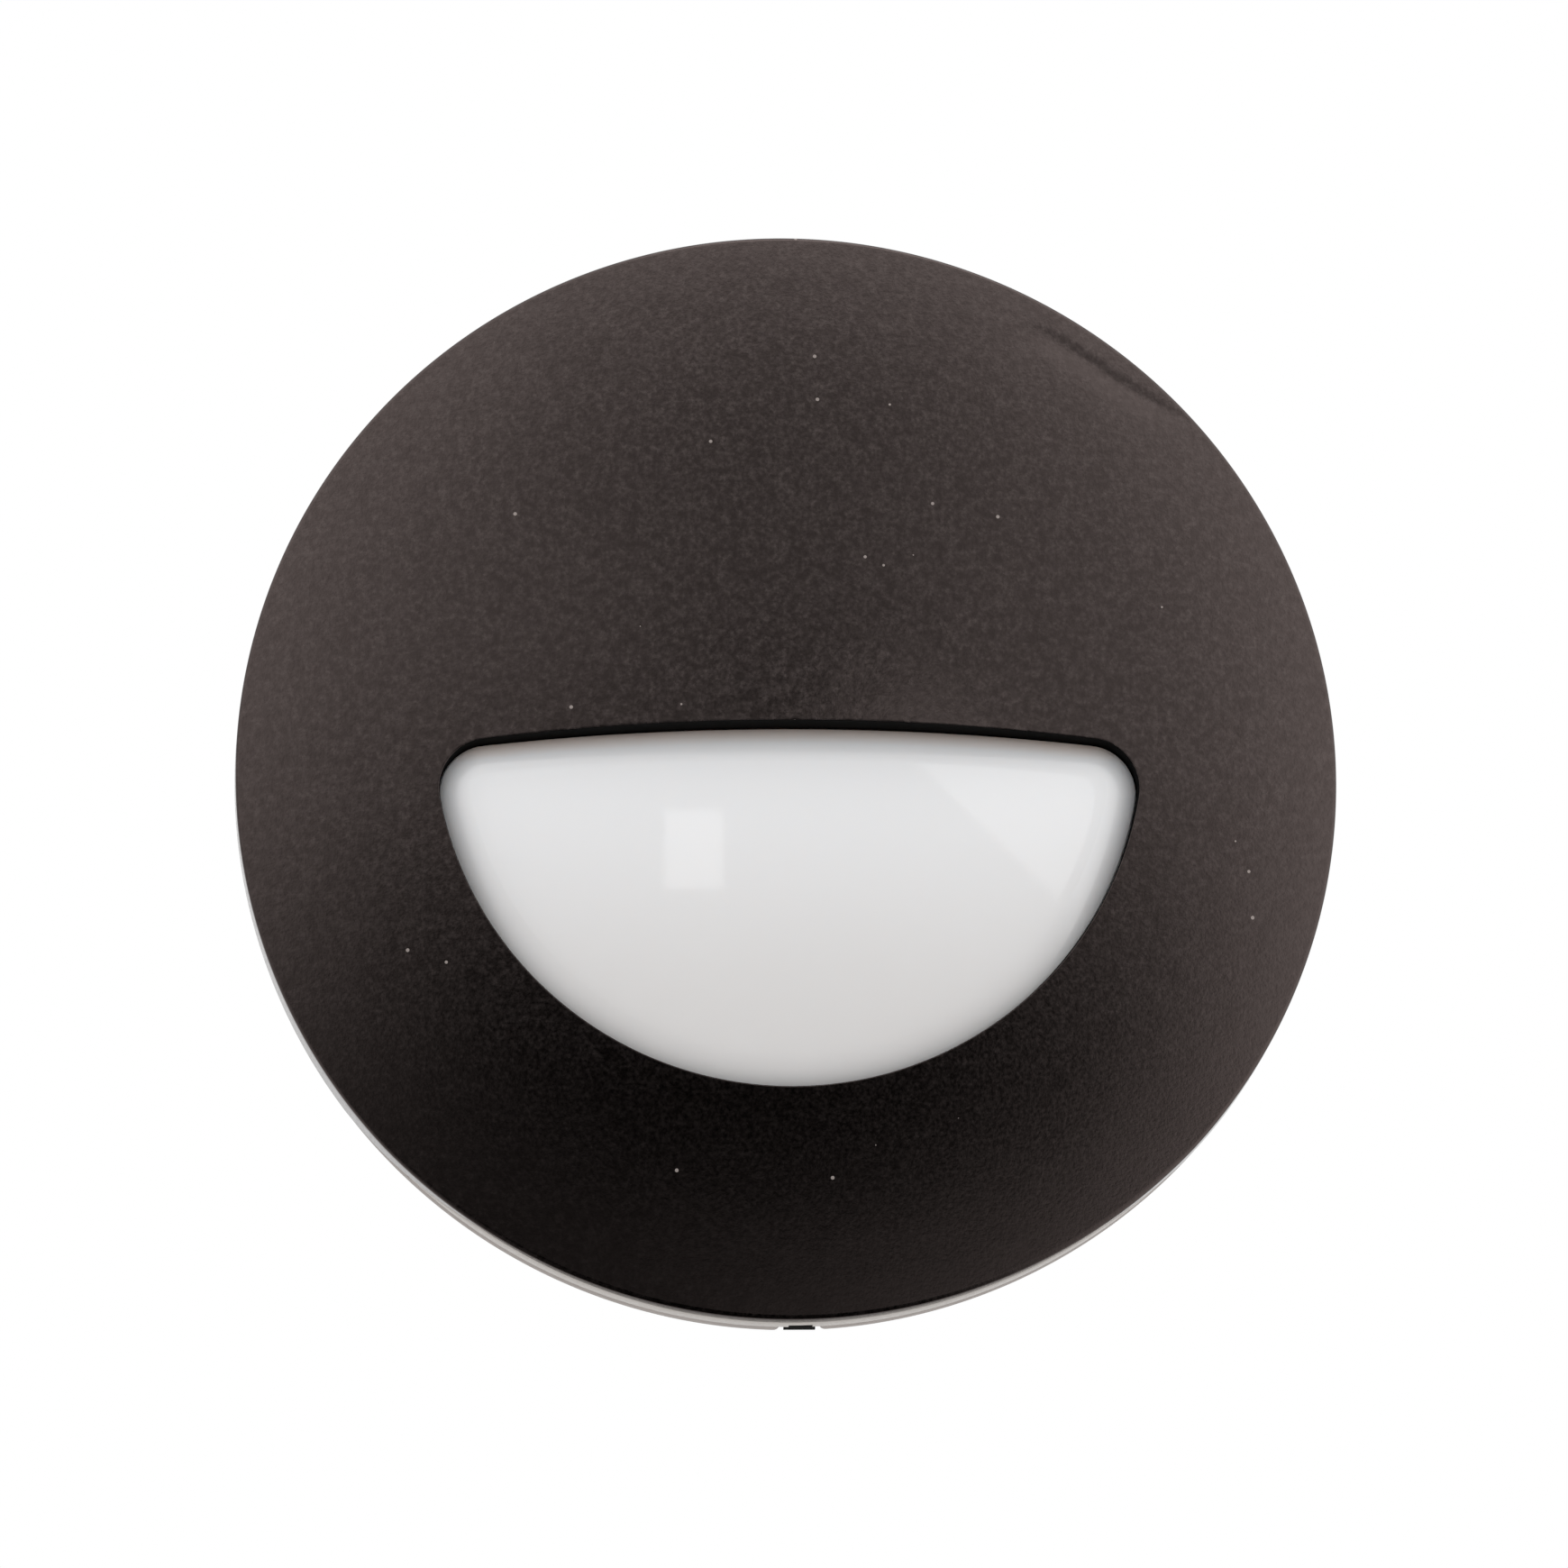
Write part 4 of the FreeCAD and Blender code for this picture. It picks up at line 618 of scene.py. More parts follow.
def crease(flat):
    """Depth of the shallow press mark near the upper right edge."""
    way = (CREASE_END - CREASE_START).normalized()
    length = (CREASE_END - CREASE_START).length
    along = (flat - CREASE_START).dot(way)
    across = (flat - CREASE_START).dot(Vector((-way.y, way.x)))
    bow = CREASE_OFFSET + CREASE_BOW * math.sin(2.2 * math.pi * min(max(along / length, 0), 1))
    fade = max(min(along / CREASE_FADE, (length - along) / CREASE_FADE, 1), 0)
    half = CREASE_HALF if across > bow else 4 * CREASE_HALF
    return CREASE_DEPTH * fade * math.exp(-((across - bow) / half) ** 2)


def face_surface(radius, flat):
    """Dome with the faint waviness of a thin moulding and its press mark."""
    spot = Vector((flat.x, flat.y, 0))
    wave = WAVE_HEIGHT * noise.noise(spot / WAVE_LENGTH) + RIPPLE_HEIGHT * noise.noise(spot / RIPPLE_LENGTH)
    fade = min((FACE_RADIUS - radius) / WAVE_FADE, 1)
    return dome_at(radius) + (WAVE_BASE + wave) * max(fade, 0) + crease(flat)


def ramp(x, z, gap=0.0):
    """Y of the sloping ends of the relief at a place round the rim; gap narrows the wedge."""
    if z > 0:
        return 0.0
    return min(RELIEF_ROOF + max(abs(x) + gap - RELIEF_ROOF_HALF, 0) / RELIEF_SLOPE, 0.0)


def drawn_rim(radius):
    """Reach of the rim, drawn in a little over the relief so that the silver key shows past it."""
    full = circle(radius)

    def reach(angle):
        flat = ray_point(angle, full(angle))
        off = math.degrees(math.atan2(flat.x, -flat.y)) / RELIEF_TURN
        return full(angle) - RELIEF_SHRINK * max(1 - off * off, 0)
    return reach


def skirt_back(flat):
    """Y of the skirt's rear edge, which stands further forward over the relief."""
    return min(ramp(flat.x, flat.y), -SKIRT_SETBACK)


def skirt_inside(angle):
    """Reach of the skirt's inner wall, which stands closer to the flange over the relief."""
    flat = ray_point(angle, circle(FACE_RADIUS)(angle))
    deep = min(max((skirt_back(flat) - RELIEF_ROOF) / SKIRT_BLEND, 0), 1)
    relief = FLANGE_EDGE_RADIUS - PART_GAP
    return circle(relief + (FACE_RADIUS - SKIRT_WALL - relief) * deep)(angle)


def face_cover():
    """Domed face: collar, lip, dome, rim, skirt with its relief, and the hollow back."""
    def lip_foot(radius, flat):
        return dome_at(radius) + LIP_ROUND

    loops = []
    for share in (0.0, 0.25, 0.5, 0.75):
        loops.append(ray_loop(eyelid(0.0), between(level(LENS_PLATE_FRONT), lip_foot, share)))
    for step in range(LIP_STEPS + 1):
        turn = math.pi / 2 * step / LIP_STEPS
        drop = LIP_ROUND * (1 - math.sin(turn))
        loops.append(ray_loop(eyelid(-LIP_ROUND * (1 - math.cos(turn))),
                              lambda radius, flat: face_surface(radius, flat) + drop))

    edge = FACE_RADIUS - RIM_ROUND
    for row in range(1, FACE_ROWS + 1):
        loops.append(ray_loop(between(eyelid(-LIP_ROUND), drawn_rim(edge), row / FACE_ROWS), face_surface))
    lean = math.asin(edge / DOME_RADIUS)
    rim_y = dome_at(edge) + RIM_ROUND * math.cos(lean)
    for step in range(1, RIM_STEPS + 1):
        turn = lean + (math.pi / 2 - lean) * step / RIM_STEPS
        radius = edge + RIM_ROUND * (math.sin(turn) - math.sin(lean)) / (1 - math.sin(lean))
        loops.append(ray_loop(drawn_rim(radius), level(rim_y - RIM_ROUND * math.cos(turn))))

    def skirt_end(radius, flat):
        return max(skirt_back(flat), rim_y)

    for share in (0.25, 0.5, 0.75, 0.97):
        loops.append(ray_loop(drawn_rim(FACE_RADIUS), between(level(rim_y), skirt_end, share)))
    loops.append(ray_loop(drawn_rim(FACE_RADIUS - 0.1), lambda radius, flat: skirt_back(flat)))
    loops.append(ray_loop(skirt_inside, lambda radius, flat: skirt_back(flat * (FACE_RADIUS / radius))))
    for share in (0.0, 0.3, 0.6, 0.85, 1.0):
        loops.append(ray_loop(between(skirt_inside, eyelid(-COLLAR_WALL), share),
                              lambda radius, flat: dome_at(radius, COVER_WALL)))
    loops.append(ray_loop(eyelid(-COLLAR_WALL), level(LENS_PLATE_FRONT)))

    shapes = [skin(loops, joined=True)]
    boss_end = [(BOSS_RADIUS, LENS_PLATE_FRONT, 0), (0, LENS_PLATE_FRONT, 0)]
    for places, radius, end in ((PEGS, PEG_RADIUS, PEG_TAIL), (LENS_SCREWS, BOSS_RADIUS, boss_end)):
        for x, z in places:
            root = dome_at(math.hypot(x, z), BOSS_SINK)
            shapes.append(lathe([(0, root, 0), (radius, root, 0)] + end, 48, x, z))
    piece("face_cover_shell", "cover", "face_plastic", shapes, ["face_cover"], sharp=40)

    # The lining is drawn near-black and without gloss: painted shade on the opening's wall
    lining = [ray_loop(eyelid(inset), lambda radius, flat: lip_foot(radius, flat) + deep)
              for inset, deep in LINING_SECTION]
    made = piece("opening_wall_shade_skin", "cover", "face_plastic", [skin(lining, joined=True)], ["face_cover"])
    paint(made, PAINTED_SHADE_WALL)


# Lens

def lens_front(radius, drop=0.0):
    """Y of the window's slight dome."""
    crown = LENS_PLATE_FRONT - LENS_RISE
    return crown + drop + LENS_DOME_RADIUS - math.sqrt(LENS_DOME_RADIUS ** 2 - radius ** 2)


def shoulder_share(flat):
    """Share of the shoulder's drop: whole at the corners and the brow, little round the lower arc."""
    rise = min(max((flat.y + 17) / 12, 0), 1)
    return 0.25 + 0.75 * rise * rise * (3 - 2 * rise)


def diffuser_lens():
    """Opal plate and its raised eyelid window with a round shoulder and a slight dome."""
    loops = [
        ray_loop(circle(LENS_PLATE_RADIUS), level(LENS_PLATE_BACK)),
        ray_loop(circle(LENS_PLATE_RADIUS), level(LENS_PLATE_FRONT + LENS_PLATE_EDGE)),
        ray_loop(circle(LENS_PLATE_RADIUS - LENS_PLATE_EDGE), level(LENS_PLATE_FRONT)),
        ray_loop(eyelid(LENS_EDGE_GAP), level(LENS_PLATE_FRONT)),
    ]
    for step in range(LENS_SHOULDER_STEPS + 1):
        out = 1 - step / LENS_SHOULDER_STEPS
        drop = LENS_SHOULDER_DROP * (0.6 * out + 0.4 * out ** 3)
        loops.append(ray_loop(eyelid(LENS_EDGE_GAP + LENS_SHOULDER * (1 - out)),
                              lambda radius, flat: lens_front(radius, drop * shoulder_share(flat))))
    for step in range(1, LENS_ROWS + 1):
        loops.append(ray_loop(eyelid(LENS_EDGE_GAP + LENS_SHOULDER, 1 - step / LENS_ROWS),
                              lambda radius, flat: lens_front(radius)))
    hollow = LENS_EDGE_GAP + LENS_WALL
    inside = [ray_loop(eyelid(hollow), level(LENS_PLATE_BACK))]
    for share in (1.0, 0.6, 0.3, 0.0):
        inside.append(ray_loop(eyelid(hollow, share), lambda radius, flat: lens_front(radius, LENS_WALL)))
    piece("diffuser_lens_moulding", "cover", "opal_lens", [skin(loops[::-1] + inside, caps=False)],
          ["diffuser_lens"], sharp=50)


# Housing and what stands on it

def screws(name, body, places, seat, replaces, length=4.0):
    """Pan-head screws with a cross recess: heads behind the seat, points towards the face."""
    head, height = 1.75, 0.9
    top = seat + height
    section = [(0, top, 0), (head * 0.8, top, 0.3), (head, seat + height * 0.45, 0.25), (head, seat, 0.08),
               (0.9, seat, 0), (0.9, seat - length, 0.3), (0, seat - length, 0)]
    made = piece(name, body, "plated_screw", [lathe(section, 48, x, z) for x, z in places], replaces)
    cutters = []
    wide = head * 0.62
    for x, z in places:
        for across, up in ((wide, CROSS_HALF), (CROSS_HALF, wide)):
            cross = box(x - across, x + across, top - CROSS_DEPTH, top + 1.0, z - up, z + up, 0.02)
            cutters.append(solid("tool", [cross], 30.0))
    carve(made, cutters)
    shade_smooth(made.data, 32)


def rim_angles():
    """Angles round the rim, closer together at the notch."""
    fine = [math.radians(266 + 0.125 * step) for step in range(65)]
    plain = [math.radians(0.5 * step) for step in range(720)]
    return sorted(set([a for a in plain if not fine[0] < a < fine[-1]] + fine))


RIM_ANGLES = rim_angles()


def rim_loop(place_of):
    """Loop round the axis: place_of(x share, z share) gives radius and y."""
    loop = []
    for angle in RIM_ANGLES:
        across, up = math.cos(angle), math.sin(angle)
        radius, y = place_of(across, up)
        loop.append(Vector((radius * across, y, radius * up)))
    return loop


def fixed(radius, y):
    """Place of a rim loop that is the same all round."""
    return lambda across, up: (radius, y)


def key_top(across, up, highest, lowest):
    """Y of the key's front edge, held between two planes."""
    return min(max(ramp(across * KEY_RADIUS, up, PART_GAP), highest), lowest)


def housing():
    """Die casting: flange with its bottom key, recess, cup, neck and the finned barrel."""
    gap = COVER_WALL + PART_GAP
    ridge = FLANGE_EDGE_RADIUS - PART_GAP
    ridge_y = dome_at(ridge, gap)

    def key(across, up):
        return key_top(across, up, RELIEF_ROOF + 0.1, -GASKET)

    def has_key(across, up):
        return key(across, up) < -GASKET - 1e-6

    def key_front(inset, drop):
        def place(across, up):
            if not has_key(across, up):
                return (FLANGE_EDGE_RADIUS, ridge_y + KEY_ROUND)
            return (KEY_RADIUS - inset, min(key(across, up) + drop, -GASKET - drop / 2))
        return place

    def notched(across, up, radius):
        """Radius of the key's rear edge, where the drain notch runs on into it."""
        in_notch = up < 0 and abs(across * radius - NOTCH_SIDE) < NOTCH_CORE
        return radius - NOTCH_DEPTH if in_notch else radius

    def notch_end(across, up):
        radius, y = key_front(0.0, KEY_ROUND)(across, up)
        return (radius, max(y, NOTCH_FRONT)) if has_key(across, up) else (radius, y)

    def notch_face(across, up):
        radius, y = notch_end(across, up)
        return (notched(across, up, radius), y)

    def heel(inset, drop):
        def place(across, up):
            radius = KEY_RADIUS if has_key(across, up) else FLANGE_EDGE_RADIUS
            return (notched(across, up, radius) - inset, -GASKET - drop)
        return place

    # Recess edge and the flange's front, which follows the dome
    sequence = [fixed(RECESS_RADIUS, RECESS_FLOOR), fixed(RECESS_RADIUS, dome_at(RECESS_RADIUS, gap) + 0.15)]
    sequence += [fixed(radius, dome_at(radius, gap)) for radius in (29.25, 31.5, 34.0, 36.5)]
    # Flange edge, or the key that stands out past it over the relief
    sequence += [fixed(ridge, ridge_y), lambda across, up: (ridge, min(key(across, up), ridge_y)),
                 key_front(KEY_ROUND, 0.0), key_front(KEY_ROUND / 3, KEY_ROUND / 3), key_front(0.0, KEY_ROUND),
                 notch_end, notch_face, heel(0.0, KEY_ROUND), heel(KEY_ROUND, 0.0)]
    # Gasket's seat, step and neck
    sequence += [fixed(30.9, -1.6), fixed(30.8, -1.5), fixed(30.8, -0.5), fixed(30.7, -0.4),
                 fixed(NECK_RADIUS, -0.4), fixed(NECK_RADIUS, NECK_BACK - 0.2), fixed(NECK_RADIUS - 0.2, NECK_BACK),
                 fixed(24.0, NECK_BACK), fixed(0.0, NECK_BACK)]
    # Cup, back to the recess
    sequence += [fixed(0.0, CUP_FLOOR), fixed(CUP_RADIUS - 0.5, CUP_FLOOR), fixed(CUP_RADIUS, CUP_FLOOR - 0.5),
                 fixed(CUP_RADIUS, RECESS_FLOOR + 0.1), fixed(CUP_RADIUS + 0.1, RECESS_FLOOR)]
    shapes = [skin([rim_loop(place) for place in sequence], joined=True), barrel()]
    shapes += [fin(upright + FIN_TURN * step) for upright in (90, -90) for step in range(-4, 5)]
    shapes += [lug(side, low) for side in (1, -1) for low in LUG_LOWS]
    boss = [(1.68, -1.0, 0.1), (3.2, -1.0, 0.2), (3.2, 8.6, 0), (1.68, 8.6, 0)]
    shapes += [lathe(boss, 64, x, z) for x, z in PEGS]
    piece("housing_casting", "housing", "cast_alloy", shapes, ["housing"])


def round_ring(radius, y):
    return ring(BARREL_STEPS, y, lambda angle: radius)


def flat_ring(radius, y):
    """Loop of the barrel's section: a circle with flats at its two sides."""
    flat = BARREL_FLAT - (BARREL_RADIUS - radius)

    def reach(angle):
        across = abs(math.cos(angle))
        return min(radius, flat / across) if across > 1e-6 else radius
    return ring(BARREL_STEPS, y, reach)


def barrel():
    """Open barrel with side flats and a soft rear edge."""
    floor, back = BARREL_FRONT + 1.6, BARREL_BACK
    chamber = [(0.0, floor), (CHAMBER_RADIUS, floor), (CHAMBER_RADIUS, back - 0.2), (CHAMBER_RADIUS + 0.2, back)]
    outside = [(BARREL_RADIUS - 0.25, back), (BARREL_RADIUS - 0.07, back - 0.07), (BARREL_RADIUS, back - 0.25),
               (BARREL_RADIUS, BARREL_FRONT)]
    loops = [round_ring(*place) for place in chamber] + [flat_ring(*place) for place in outside]
    return skin(loops + [round_ring(0.0, BARREL_FRONT)], caps=False)


def fin(angle):
    """Radial fin, a little thinner at its tip, with rounded ends."""
    outline = [(FIN_ROOT, FIN_FRONT, 0.0), (FIN_TIP, FIN_FRONT, 1.0), (FIN_TIP, FIN_BACK, 1.0),
               (FIN_ROOT, FIN_BACK, 0.0)]
    corners, faces = prism(outline, -FIN_HALF, FIN_HALF, 0.25)
    thinned = [Vector((p.x, p.y, p.z * (1 - FIN_TAPER * (p.x - FIN_ROOT) / (FIN_TIP - FIN_ROOT)))) for p in corners]
    return moved((thinned, faces), Matrix.Rotation(math.radians(-angle), 4, "Y"))


def eye(start, steps):
    """Half circle round the clip's pin, from an angle on."""
    angles = [math.radians(start + 180 * step / steps) for step in range(steps + 1)]
    return [(EYE_RADIUS * math.cos(angle), EYE_RADIUS * math.sin(angle)) for angle in angles]


def lug(side, low):
    """Ear of the clip's pin: a round eye on a web that grows out of the barrel's flat."""
    web = [(21.5, 3.0), (22.5, 2.9), (23.4, 2.5)]
    outline = [(x, PIVOT_BACK - half) for x, half in web]
    outline += [(PIVOT_OUT + x, PIVOT_BACK + y) for x, y in eye(-90, 24)]
    outline += [(x, PIVOT_BACK + half) for x, half in reversed(web)]
    return prism([(x * side, y) for x, y in outline], low, low + LUG_THICK, 0.2)


def wall_gasket():
    """Flat silicone ring; its bottom sector fills the relief and has a drain notch."""
    def top(across, up):
        """Y of the front of the sector that fills the relief; its ends slope back to the wall."""
        return key_top(across, up, -GASKET, 0.0)

    def rim(across, up):
        radius = KEY_RADIUS if top(across, up) < -1e-6 else FLANGE_EDGE_RADIUS
        x = abs(across * radius - NOTCH_SIDE)
        if up < 0 and x < NOTCH_HALF:
            radius = NOTCH_TOP_RADIUS - math.sqrt(NOTCH_HALF ** 2 - x ** 2)
        elif up < 0 and x < NOTCH_HALF + NOTCH_CURL:
            curl = NOTCH_CURL - (x - NOTCH_HALF)
            radius -= NOTCH_CURL - math.sqrt(max(NOTCH_CURL ** 2 - curl ** 2, 0))
        return radius

    def front_side(inset, drop):
        return lambda across, up: (rim(across, up) - inset, min(top(across, up) + drop, 0.0))

    def back_side(inset, drop):
        return lambda across, up: (rim(across, up) - inset, max(top(across, up), -drop))

    def inner(radius, y):
        """Place on a flat face, moved in where the notch cuts the ring."""
        return lambda across, up: (min(radius, rim(across, up) - 0.2), y)

    soft = GASKET_ROUND
    sequence = [fixed(GASKET_INNER, -GASKET), fixed(34.0, -GASKET), inner(FLANGE_EDGE_RADIUS - 0.4, -GASKET),
                front_side(soft, 0.0), front_side(soft / 3, soft / 3), front_side(0.0, soft),
                back_side(0.0, soft), back_side(soft / 3, soft / 3), back_side(soft, 0.0),
                inner(36.0, 0.0), fixed(33.0, 0.0), fixed(GASKET_INNER, 0.0)]
    shape = skin([rim_loop(place) for place in sequence], joined=True)
    piece("wall_gasket_ring", "housing", "grey_silicone", [shape], ["wall_gasket"])
    # Painted shade: a black sheet set into the drain notch so that its inside shows dark
    notch_shade_sheet = box(NOTCH_SIDE - 1.15, NOTCH_SIDE + 1.15, -0.35, -0.08, -39.93, -33.5, 0.04)
    piece("drain_notch_painted_shade", "housing", "black_rubber", [notch_shade_sheet], ["wall_gasket"])


def rear_cap():
    """Lid of the barrel with a soft edge, and the spigot with the seal's groove."""
    outside = [(BARREL_RADIUS - 0.2, 28.0), (BARREL_RADIUS, 28.2), (BARREL_RADIUS, 30.1),
               (BARREL_RADIUS - 0.12, 30.38), (BARREL_RADIUS - 0.4, CAP_BACK)]
    loops = [round_ring(0.0, BARREL_BACK)] + [flat_ring(*place) for place in outside] + [round_ring(0.0, CAP_BACK)]
    spigot = lathe([(17.5, 25.6, 0.2), (20.3, 25.6, 0.2), (20.3, 26.2, 0), (19.0, 26.2, 0.1), (19.0, 27.8, 0.1),
                    (20.3, 27.8, 0), (20.3, 28.1, 0), (17.5, 28.1, 0)])
    piece("rear_cap_lid", "housing", "cast_alloy", [skin(loops, caps=False), spigot], ["rear_cap"])


def hexagon(front, back, edge=0.3):
    """Hexagon of the gland, along Y, with chamfered corners."""
    reach = GLAND_FLATS / math.sqrt(3)
    outline = [(reach * math.cos(math.radians(60 * k)), reach * math.sin(math.radians(60 * k)), 0.3)
               for k in range(6)]
    upright = Matrix.Translation((0, 0, GLAND_UP)) @ Matrix.Rotation(math.radians(90), 4, "X")
    return moved(prism(outline, -back, -front, edge), upright)


def gland():
    """Nylon gland: hexagon body, washer, ribbed dome nut and the rubber seal in its mouth."""
    def turned(*section):
        return lathe(section, 96, 0, GLAND_UP)

    body = [hexagon(31.5, 35.0), turned((3.1, 25.0, 0), (5.9, 25.0, 0.3), (5.9, 31.6, 0), (3.1, 31.6, 0)),
            turned((4.25, 34.0, 0), (5.3, 34.0, 0), (5.3, 39.9, 0.3), (4.25, 39.9, 0))]
    washer = turned((5.95, 30.5, 0), (7.5, 30.5, 0.2), (7.5, 31.5, 0.2), (5.95, 31.5, 0))
    nut = [hexagon(35.05, 39.5, 0.35),
           turned((4.3, 35.1, 0), (7.3, 35.1, 0), (7.45, 39.2, 0), (7.2, 41.0, 1.2), (5.9, 42.7, 1.2),
                  (4.3, 43.0, 0.4), (3.4, 42.8, 0.2), (3.4, 41.2, 0), (4.3, 41.0, 0))]
    rib = prism([(6.6, 39.0, 0), (7.5, 39.0, 0.2), (7.5, 40.6, 0.4), (6.9, 41.6, 0.3), (6.4, 41.4, 0)],
                -0.45, 0.45, 0.2)
    for k in range(12):
        turn = Matrix.Translation((0, 0, GLAND_UP)) @ Matrix.Rotation(math.radians(30 * k + 15), 4, "Y")
        nut.append(moved(rib, turn))
    seal = turned((2.75, 32.5, 0.2), (4.2, 32.5, 0.2), (4.2, 40.5, 0.2), (2.75, 40.5, 0.4))
    piece("gland_body_moulding", "housing", "gland_nylon", body, ["gland_body"])
    piece("gland_washer_ring", "housing", "black_rubber", [washer], ["gland_washer"])
    piece("gland_nut_moulding", "housing", "gland_nylon", nut, ["gland_nut"])
    piece("gland_seal_tube", "housing", "black_rubber", [seal], ["gland_seal"])


def coil():
    """Path of the torsion spring round the pivot: a leg on the housing, the turns, and a leg along the arm."""
    turn = 360 * SPRING_TURNS + 90 - CLIP_REST_ANGLE
    points = [Vector((-SPRING_RADIUS, 6.0 * (1 - step / 12), -SPRING_LENGTH / 2)) for step in range(12)]
    count = 260
    for step in range(count + 1):
        share = step / count
        angle = math.radians(180 + turn * share)
        points.append(Vector((SPRING_RADIUS * math.cos(angle), SPRING_RADIUS * math.sin(angle),
                              SPRING_LENGTH * (share - 0.5))))
    end = math.radians(-CLIP_REST_ANGLE)
    last = points[-1]
    points += [last + Vector((math.cos(end), math.sin(end), 0)) * (8.0 * step / 12) for step in range(1, 13)]
    return points


def spring_clip(side, name):
    """Folded steel clip, its sleeve, pin and torsion spring, all drawn at the right and turned to their side."""
    over = Matrix.Identity(4) if side > 0 else Matrix.Rotation(math.pi, 4, "Y")
    pivot = Vector((PIVOT_OUT, PIVOT_BACK, 0))
    arm = over @ Matrix.Translation(pivot) @ Matrix.Rotation(math.radians(-CLIP_REST_ANGLE), 4, "Z")
    cheek = eye(90, 20) + [(3.2, -3.4), (3.6, -3.55), (8.8, -3.55), (9.0, -3.35), (9.0, -1.9), (8.7, -1.75)]
    plate = [(1.4, -2.95, 0.1), (3.2, -3.55, 0.3), (16.2, -3.55, 0.2), (16.2, -2.75, 0.2), (3.2, -2.75, 0.2),
             (1.5, -2.75, 0.05)]
    bead = [(5.2, -3.5, 0.0), (6.0, -3.85, 0.3), (9.0, -3.85, 0.3), (9.7, -3.5, 0.0)]
    steel = [prism(cheek, CLIP_HALF - CHEEK, CLIP_HALF, 0.12), prism(cheek, -CLIP_HALF, CHEEK - CLIP_HALF, 0.12),
             prism(plate, -CLIP_HALF, CLIP_HALF, 0.12), prism(bead, -1.0, 1.0, 0.3)]
    piece(f"{name}_pressing", name, "spring_steel", [moved(shape, arm) for shape in steel], [name])
    sleeve = prism([(9.8, -2.15, 0.1), (9.8, -4.15, 0.1), (16.8, -4.15, 0.7), (16.8, -2.15, 0.7)], -6.5, 6.5, 0.45)
    piece(f"{name}_sleeve_cap", name, "clip_sleeve_rubber", [moved(sleeve, arm)], [f"{name}_sleeve"])
    pin = lathe([(0, -9.0, 0), (0.8, -9.0, 0.15), (1.0, -8.8, 0.1), (1.0, 8.2, 0), (1.7, 8.2, 0.1),
                 (1.7, 8.9, 0.3), (0, 9.0, 0)], 48)
    upright = Matrix.Translation((PIVOT_OUT * side, PIVOT_BACK, 0)) @ Matrix.Rotation(math.radians(90), 4, "X")
    piece(f"{name}_pin_rivet", "housing", "plated_screw", [moved(pin, upright)], [f"{name}_pin"])
    wire = tube([over @ (pivot + point) for point in coil()], SPRING_WIRE)
    piece(f"{name}_spring_coil", "housing", "spring_steel", [wire], [f"{name}_spring"], sharp=60)


# Studio: pale floor, light tent, three lamps and the camera

def stage():
    """Pale floor under and behind the light; it stops at the face, whose lower rim would mirror it."""
    half, front, back, low = 1.4, -0.03, 1.2, -0.28
    mesh = bpy.data.meshes.new("floor")
    mesh.from_pydata([(-half, front, low), (half, front, low), (half, back, low), (-half, back, low)], [],
                     [(0, 1, 2, 3)])
    floor = added("floor", mesh)
    material = bpy.data.materials.new("pale_floor")
    material.use_nodes = True
    surface = material.node_tree.nodes["Principled BSDF"]
    surface.inputs["Base Color"].default_value = linear("#fafaf9")
    surface.inputs["Roughness"].default_value = 0.8
    mesh.materials.append(material)


# What the face mirrors of the tent: its middle shows the direction MIRROR_SIDE, MIRROR_UP, and each millimetre
# away from it one part in MIRROR_RADIUS more
MIRROR_SIDE = 0.055
MIRROR_UP = 0.177
MIRROR_RADIUS = 72.5

# Dark places of the tent by where the face mirrors them, as (side, up, reach to the side, reach up): its mouth
# below, and two dim places, on the upper face and over the brow; each with how sharply it falls off
MOUTH, MOUTH_POWER = (-4.9, -33.4, 43.5, 35.6), 5.6
UPPER, BROW, DIM_POWER = (-1.7, 22.2, 16.0, 20.0), (2.0, 4.5, 10.0, 5.5), 2.0
UPPER_DIM, BROW_DIM = 0.42, 0.5

# The bright edge that the rim mirrors, strongest towards the upper right, and the weights of wall and edge
EDGE_POWER = 8.7
EDGE_WAY = (0.515, 0.0, 0.716)
WALL_LIGHT, EDGE_LIGHT, MOST_LIGHT = 0.76, 1.05, 1.6
FAR = -9.0  # further down or aside than any direction of the tent lies


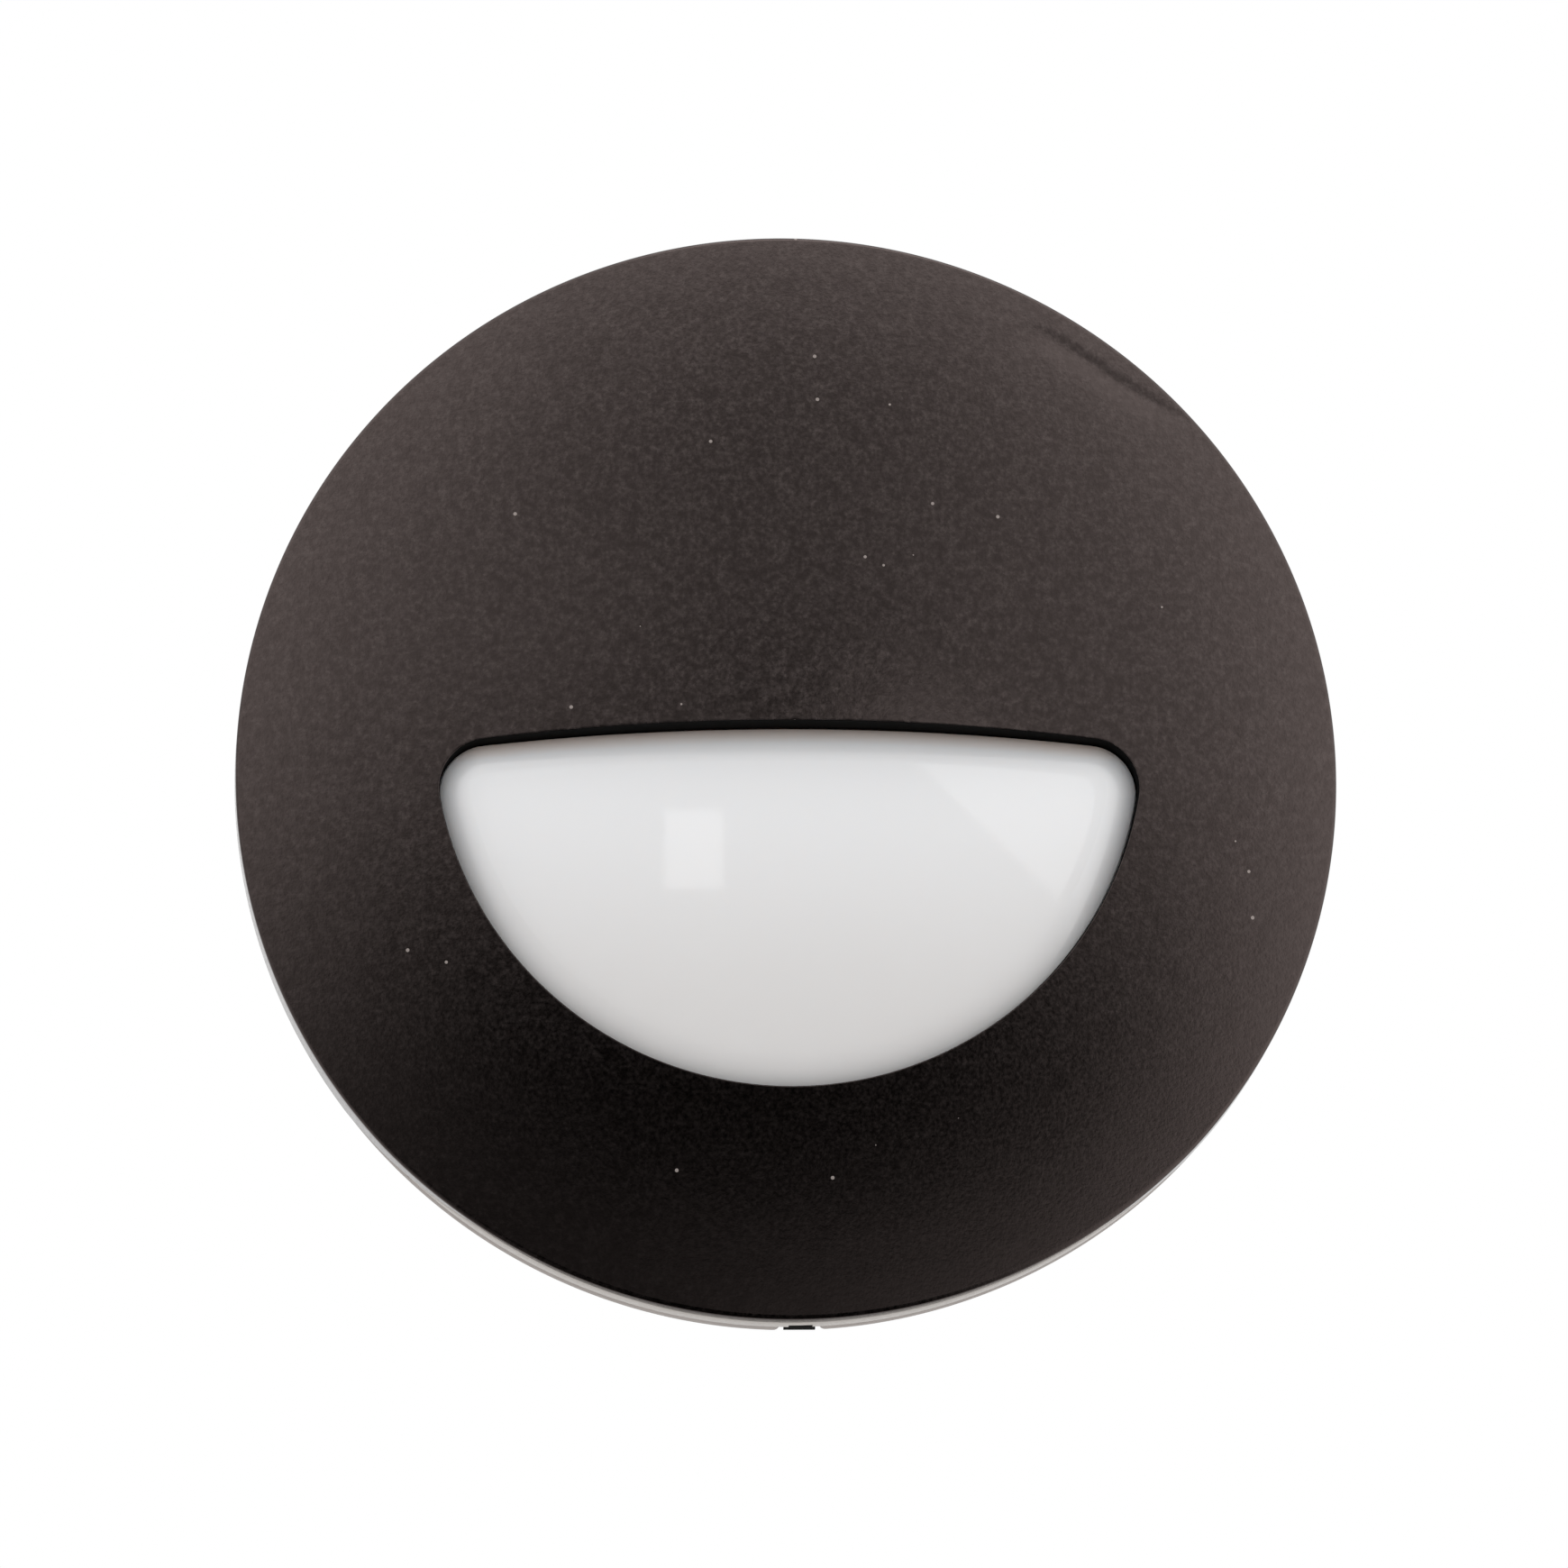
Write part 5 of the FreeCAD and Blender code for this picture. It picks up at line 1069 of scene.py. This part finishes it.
def surroundings():
    """White all round; in front a light tent for gloss alone, with its dark mouth low and a dim place above."""
    world = bpy.data.worlds.new("studio")
    bpy.context.scene.world = world
    world.use_nodes = True
    tree = world.node_tree
    tree.nodes.clear()
    way = shade(tree, "TexCoord").outputs["Generated"]

    def result(first, second, operation):
        return math_of(tree, first, second, operation)

    def vector_of(first, second, operation, output="Vector"):
        return shade(tree, "VectorMath", {0: first, 1: second}, operation=operation).outputs[output]

    def away(side, up, reach_side, reach_up, lowest=FAR):
        """Way from a place on the face to a direction, in reaches; lowest stops it counting downwards."""
        middle = (MIRROR_SIDE + side / MIRROR_RADIUS, 0.0, MIRROR_UP + up / MIRROR_RADIUS)
        scale = (MIRROR_RADIUS / reach_side, 0.0, MIRROR_RADIUS / reach_up)
        wide = vector_of(vector_of(way, middle, "SUBTRACT"), scale, "MULTIPLY")
        return vector_of(wide, (FAR, FAR, lowest), "MAXIMUM")

    def length(vector):
        return shade(tree, "VectorMath", {0: vector}, operation="LENGTH").outputs["Value"]

    def fall(vector, power):
        """One at the place itself, nothing far from it."""
        return result(1 / math.e, result(length(vector), power, "POWER"), "POWER")

    dim = result(result(fall(away(*UPPER), DIM_POWER), UPPER_DIM, "MULTIPLY"),
                 result(fall(away(*BROW), DIM_POWER), BROW_DIM, "MULTIPLY"), "ADD")
    open_share = result(1.0, fall(away(*MOUTH, 0.0), MOUTH_POWER), "SUBTRACT")
    walls = result(open_share, result(1.0, dim, "SUBTRACT"), "MULTIPLY")
    spot = away(0.0, 0.0, FACE_RADIUS, FACE_RADIUS)
    tilt = vector_of(spot, EDGE_WAY, "DOT_PRODUCT", "Value")
    near = result(result(length(spot), 1.0, "MINIMUM"), EDGE_POWER, "POWER")
    edge = result(near, result(result(1.0, tilt, "ADD"), 0.0, "MAXIMUM"), "MULTIPLY")
    light = result(result(walls, WALL_LIGHT, "MULTIPLY"), result(edge, EDGE_LIGHT, "MULTIPLY"), "ADD")
    tent = ramp_of(tree, light, 0.0, MOST_LIGHT, 0.0, MOST_LIGHT)
    depth = shade(tree, "SeparateXYZ", {0: way}).outputs["Y"]
    front = ramp_of(tree, depth, 0.25, -0.15, interpolation_type="SMOOTHSTEP")
    gloss = result(shade(tree, "LightPath").outputs["Is Glossy Ray"], front, "MULTIPLY")
    shown = blend_colours(tree, gloss, linear("#ffffff"), tent)
    sky = shade(tree, "Background", {"Color": shown, "Strength": 1.0})
    shade(tree, "OutputWorld", {"Surface": sky.outputs[0]})


def lamp(name, place, aim, size, power, turn=0.0):
    """Rectangular soft box of a width and height, turned about the line to its aim."""
    light = bpy.data.lights.new(name, "AREA")
    light.shape = "RECTANGLE"
    light.size, light.size_y = size
    light.energy = power
    made = added(name, light)
    made.location = place
    facing = (Vector(aim) - Vector(place)).to_track_quat("-Z", "Y").to_matrix()
    made.rotation_euler = (facing @ Matrix.Rotation(math.radians(turn), 3, "Z")).to_euler()


def lights():
    """Soft box above, and two small panels in front that the polished lens mirrors."""
    lamp("soft_box_above", (0.2, -0.5, 1.1), (0, 0, 0), (0.7, 0.5), 1.0)
    lamp("window_panel", (-0.001, -0.99, 0.13), (-0.007, -0.008, -0.005), (0.034, 0.046), 0.008)
    lamp("corner_panel", (0.197, -0.96, 0.17), (0.014, -0.008, -0.003), (0.184, 0.085), 0.055, -45.0)


def camera():
    """Camera of the photograph: below the light's axis and a little to its left; width is what it sees."""
    distance, width = 1.0, 0.114
    below, left = 10.2, 3.2
    aim = Vector((-0.00011, -0.002, -0.00015))
    lens = bpy.data.cameras.new("camera")
    lens.sensor_width = 36.0
    lens.angle = 2 * math.atan(width / 2 / distance)
    made = added("camera", lens)
    up, side = math.radians(-below), math.radians(left)
    way = Vector((-math.sin(side) * math.cos(up), -math.cos(side) * math.cos(up), math.sin(up)))
    made.location = aim + way * distance
    right = (Vector((1, 0, 0)) - way * way.x).normalized()
    made.rotation_euler = Matrix((right, way.cross(right), way)).transposed().to_euler()
    bpy.context.scene.camera = made


camera()
stage()
surroundings()
lights()
face_cover()
diffuser_lens()
screws("lens_screw_set", "cover", LENS_SCREWS, LENS_PLATE_BACK, ["lens_screws"])
housing()
wall_gasket()
rear_cap()
cap_places = [(CAP_SCREW_CIRCLE * math.cos(math.radians(a)), CAP_SCREW_CIRCLE * math.sin(math.radians(a)))
              for a in CAP_SCREW_ANGLES]
screws("cap_screw_set", "housing", cap_places, CAP_BACK, ["cap_screws"], length=8.0)
gland()
spring_clip(1, "right_clip")
spring_clip(-1, "left_clip")
replaced = {node for made in bpy.data.objects for node in made.get("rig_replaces", [])}
for node_name in sorted(frame["nodes"]):
    if node_name not in replaced:
        dress(node_name)

bpy.context.scene.view_settings.view_transform = "Standard"
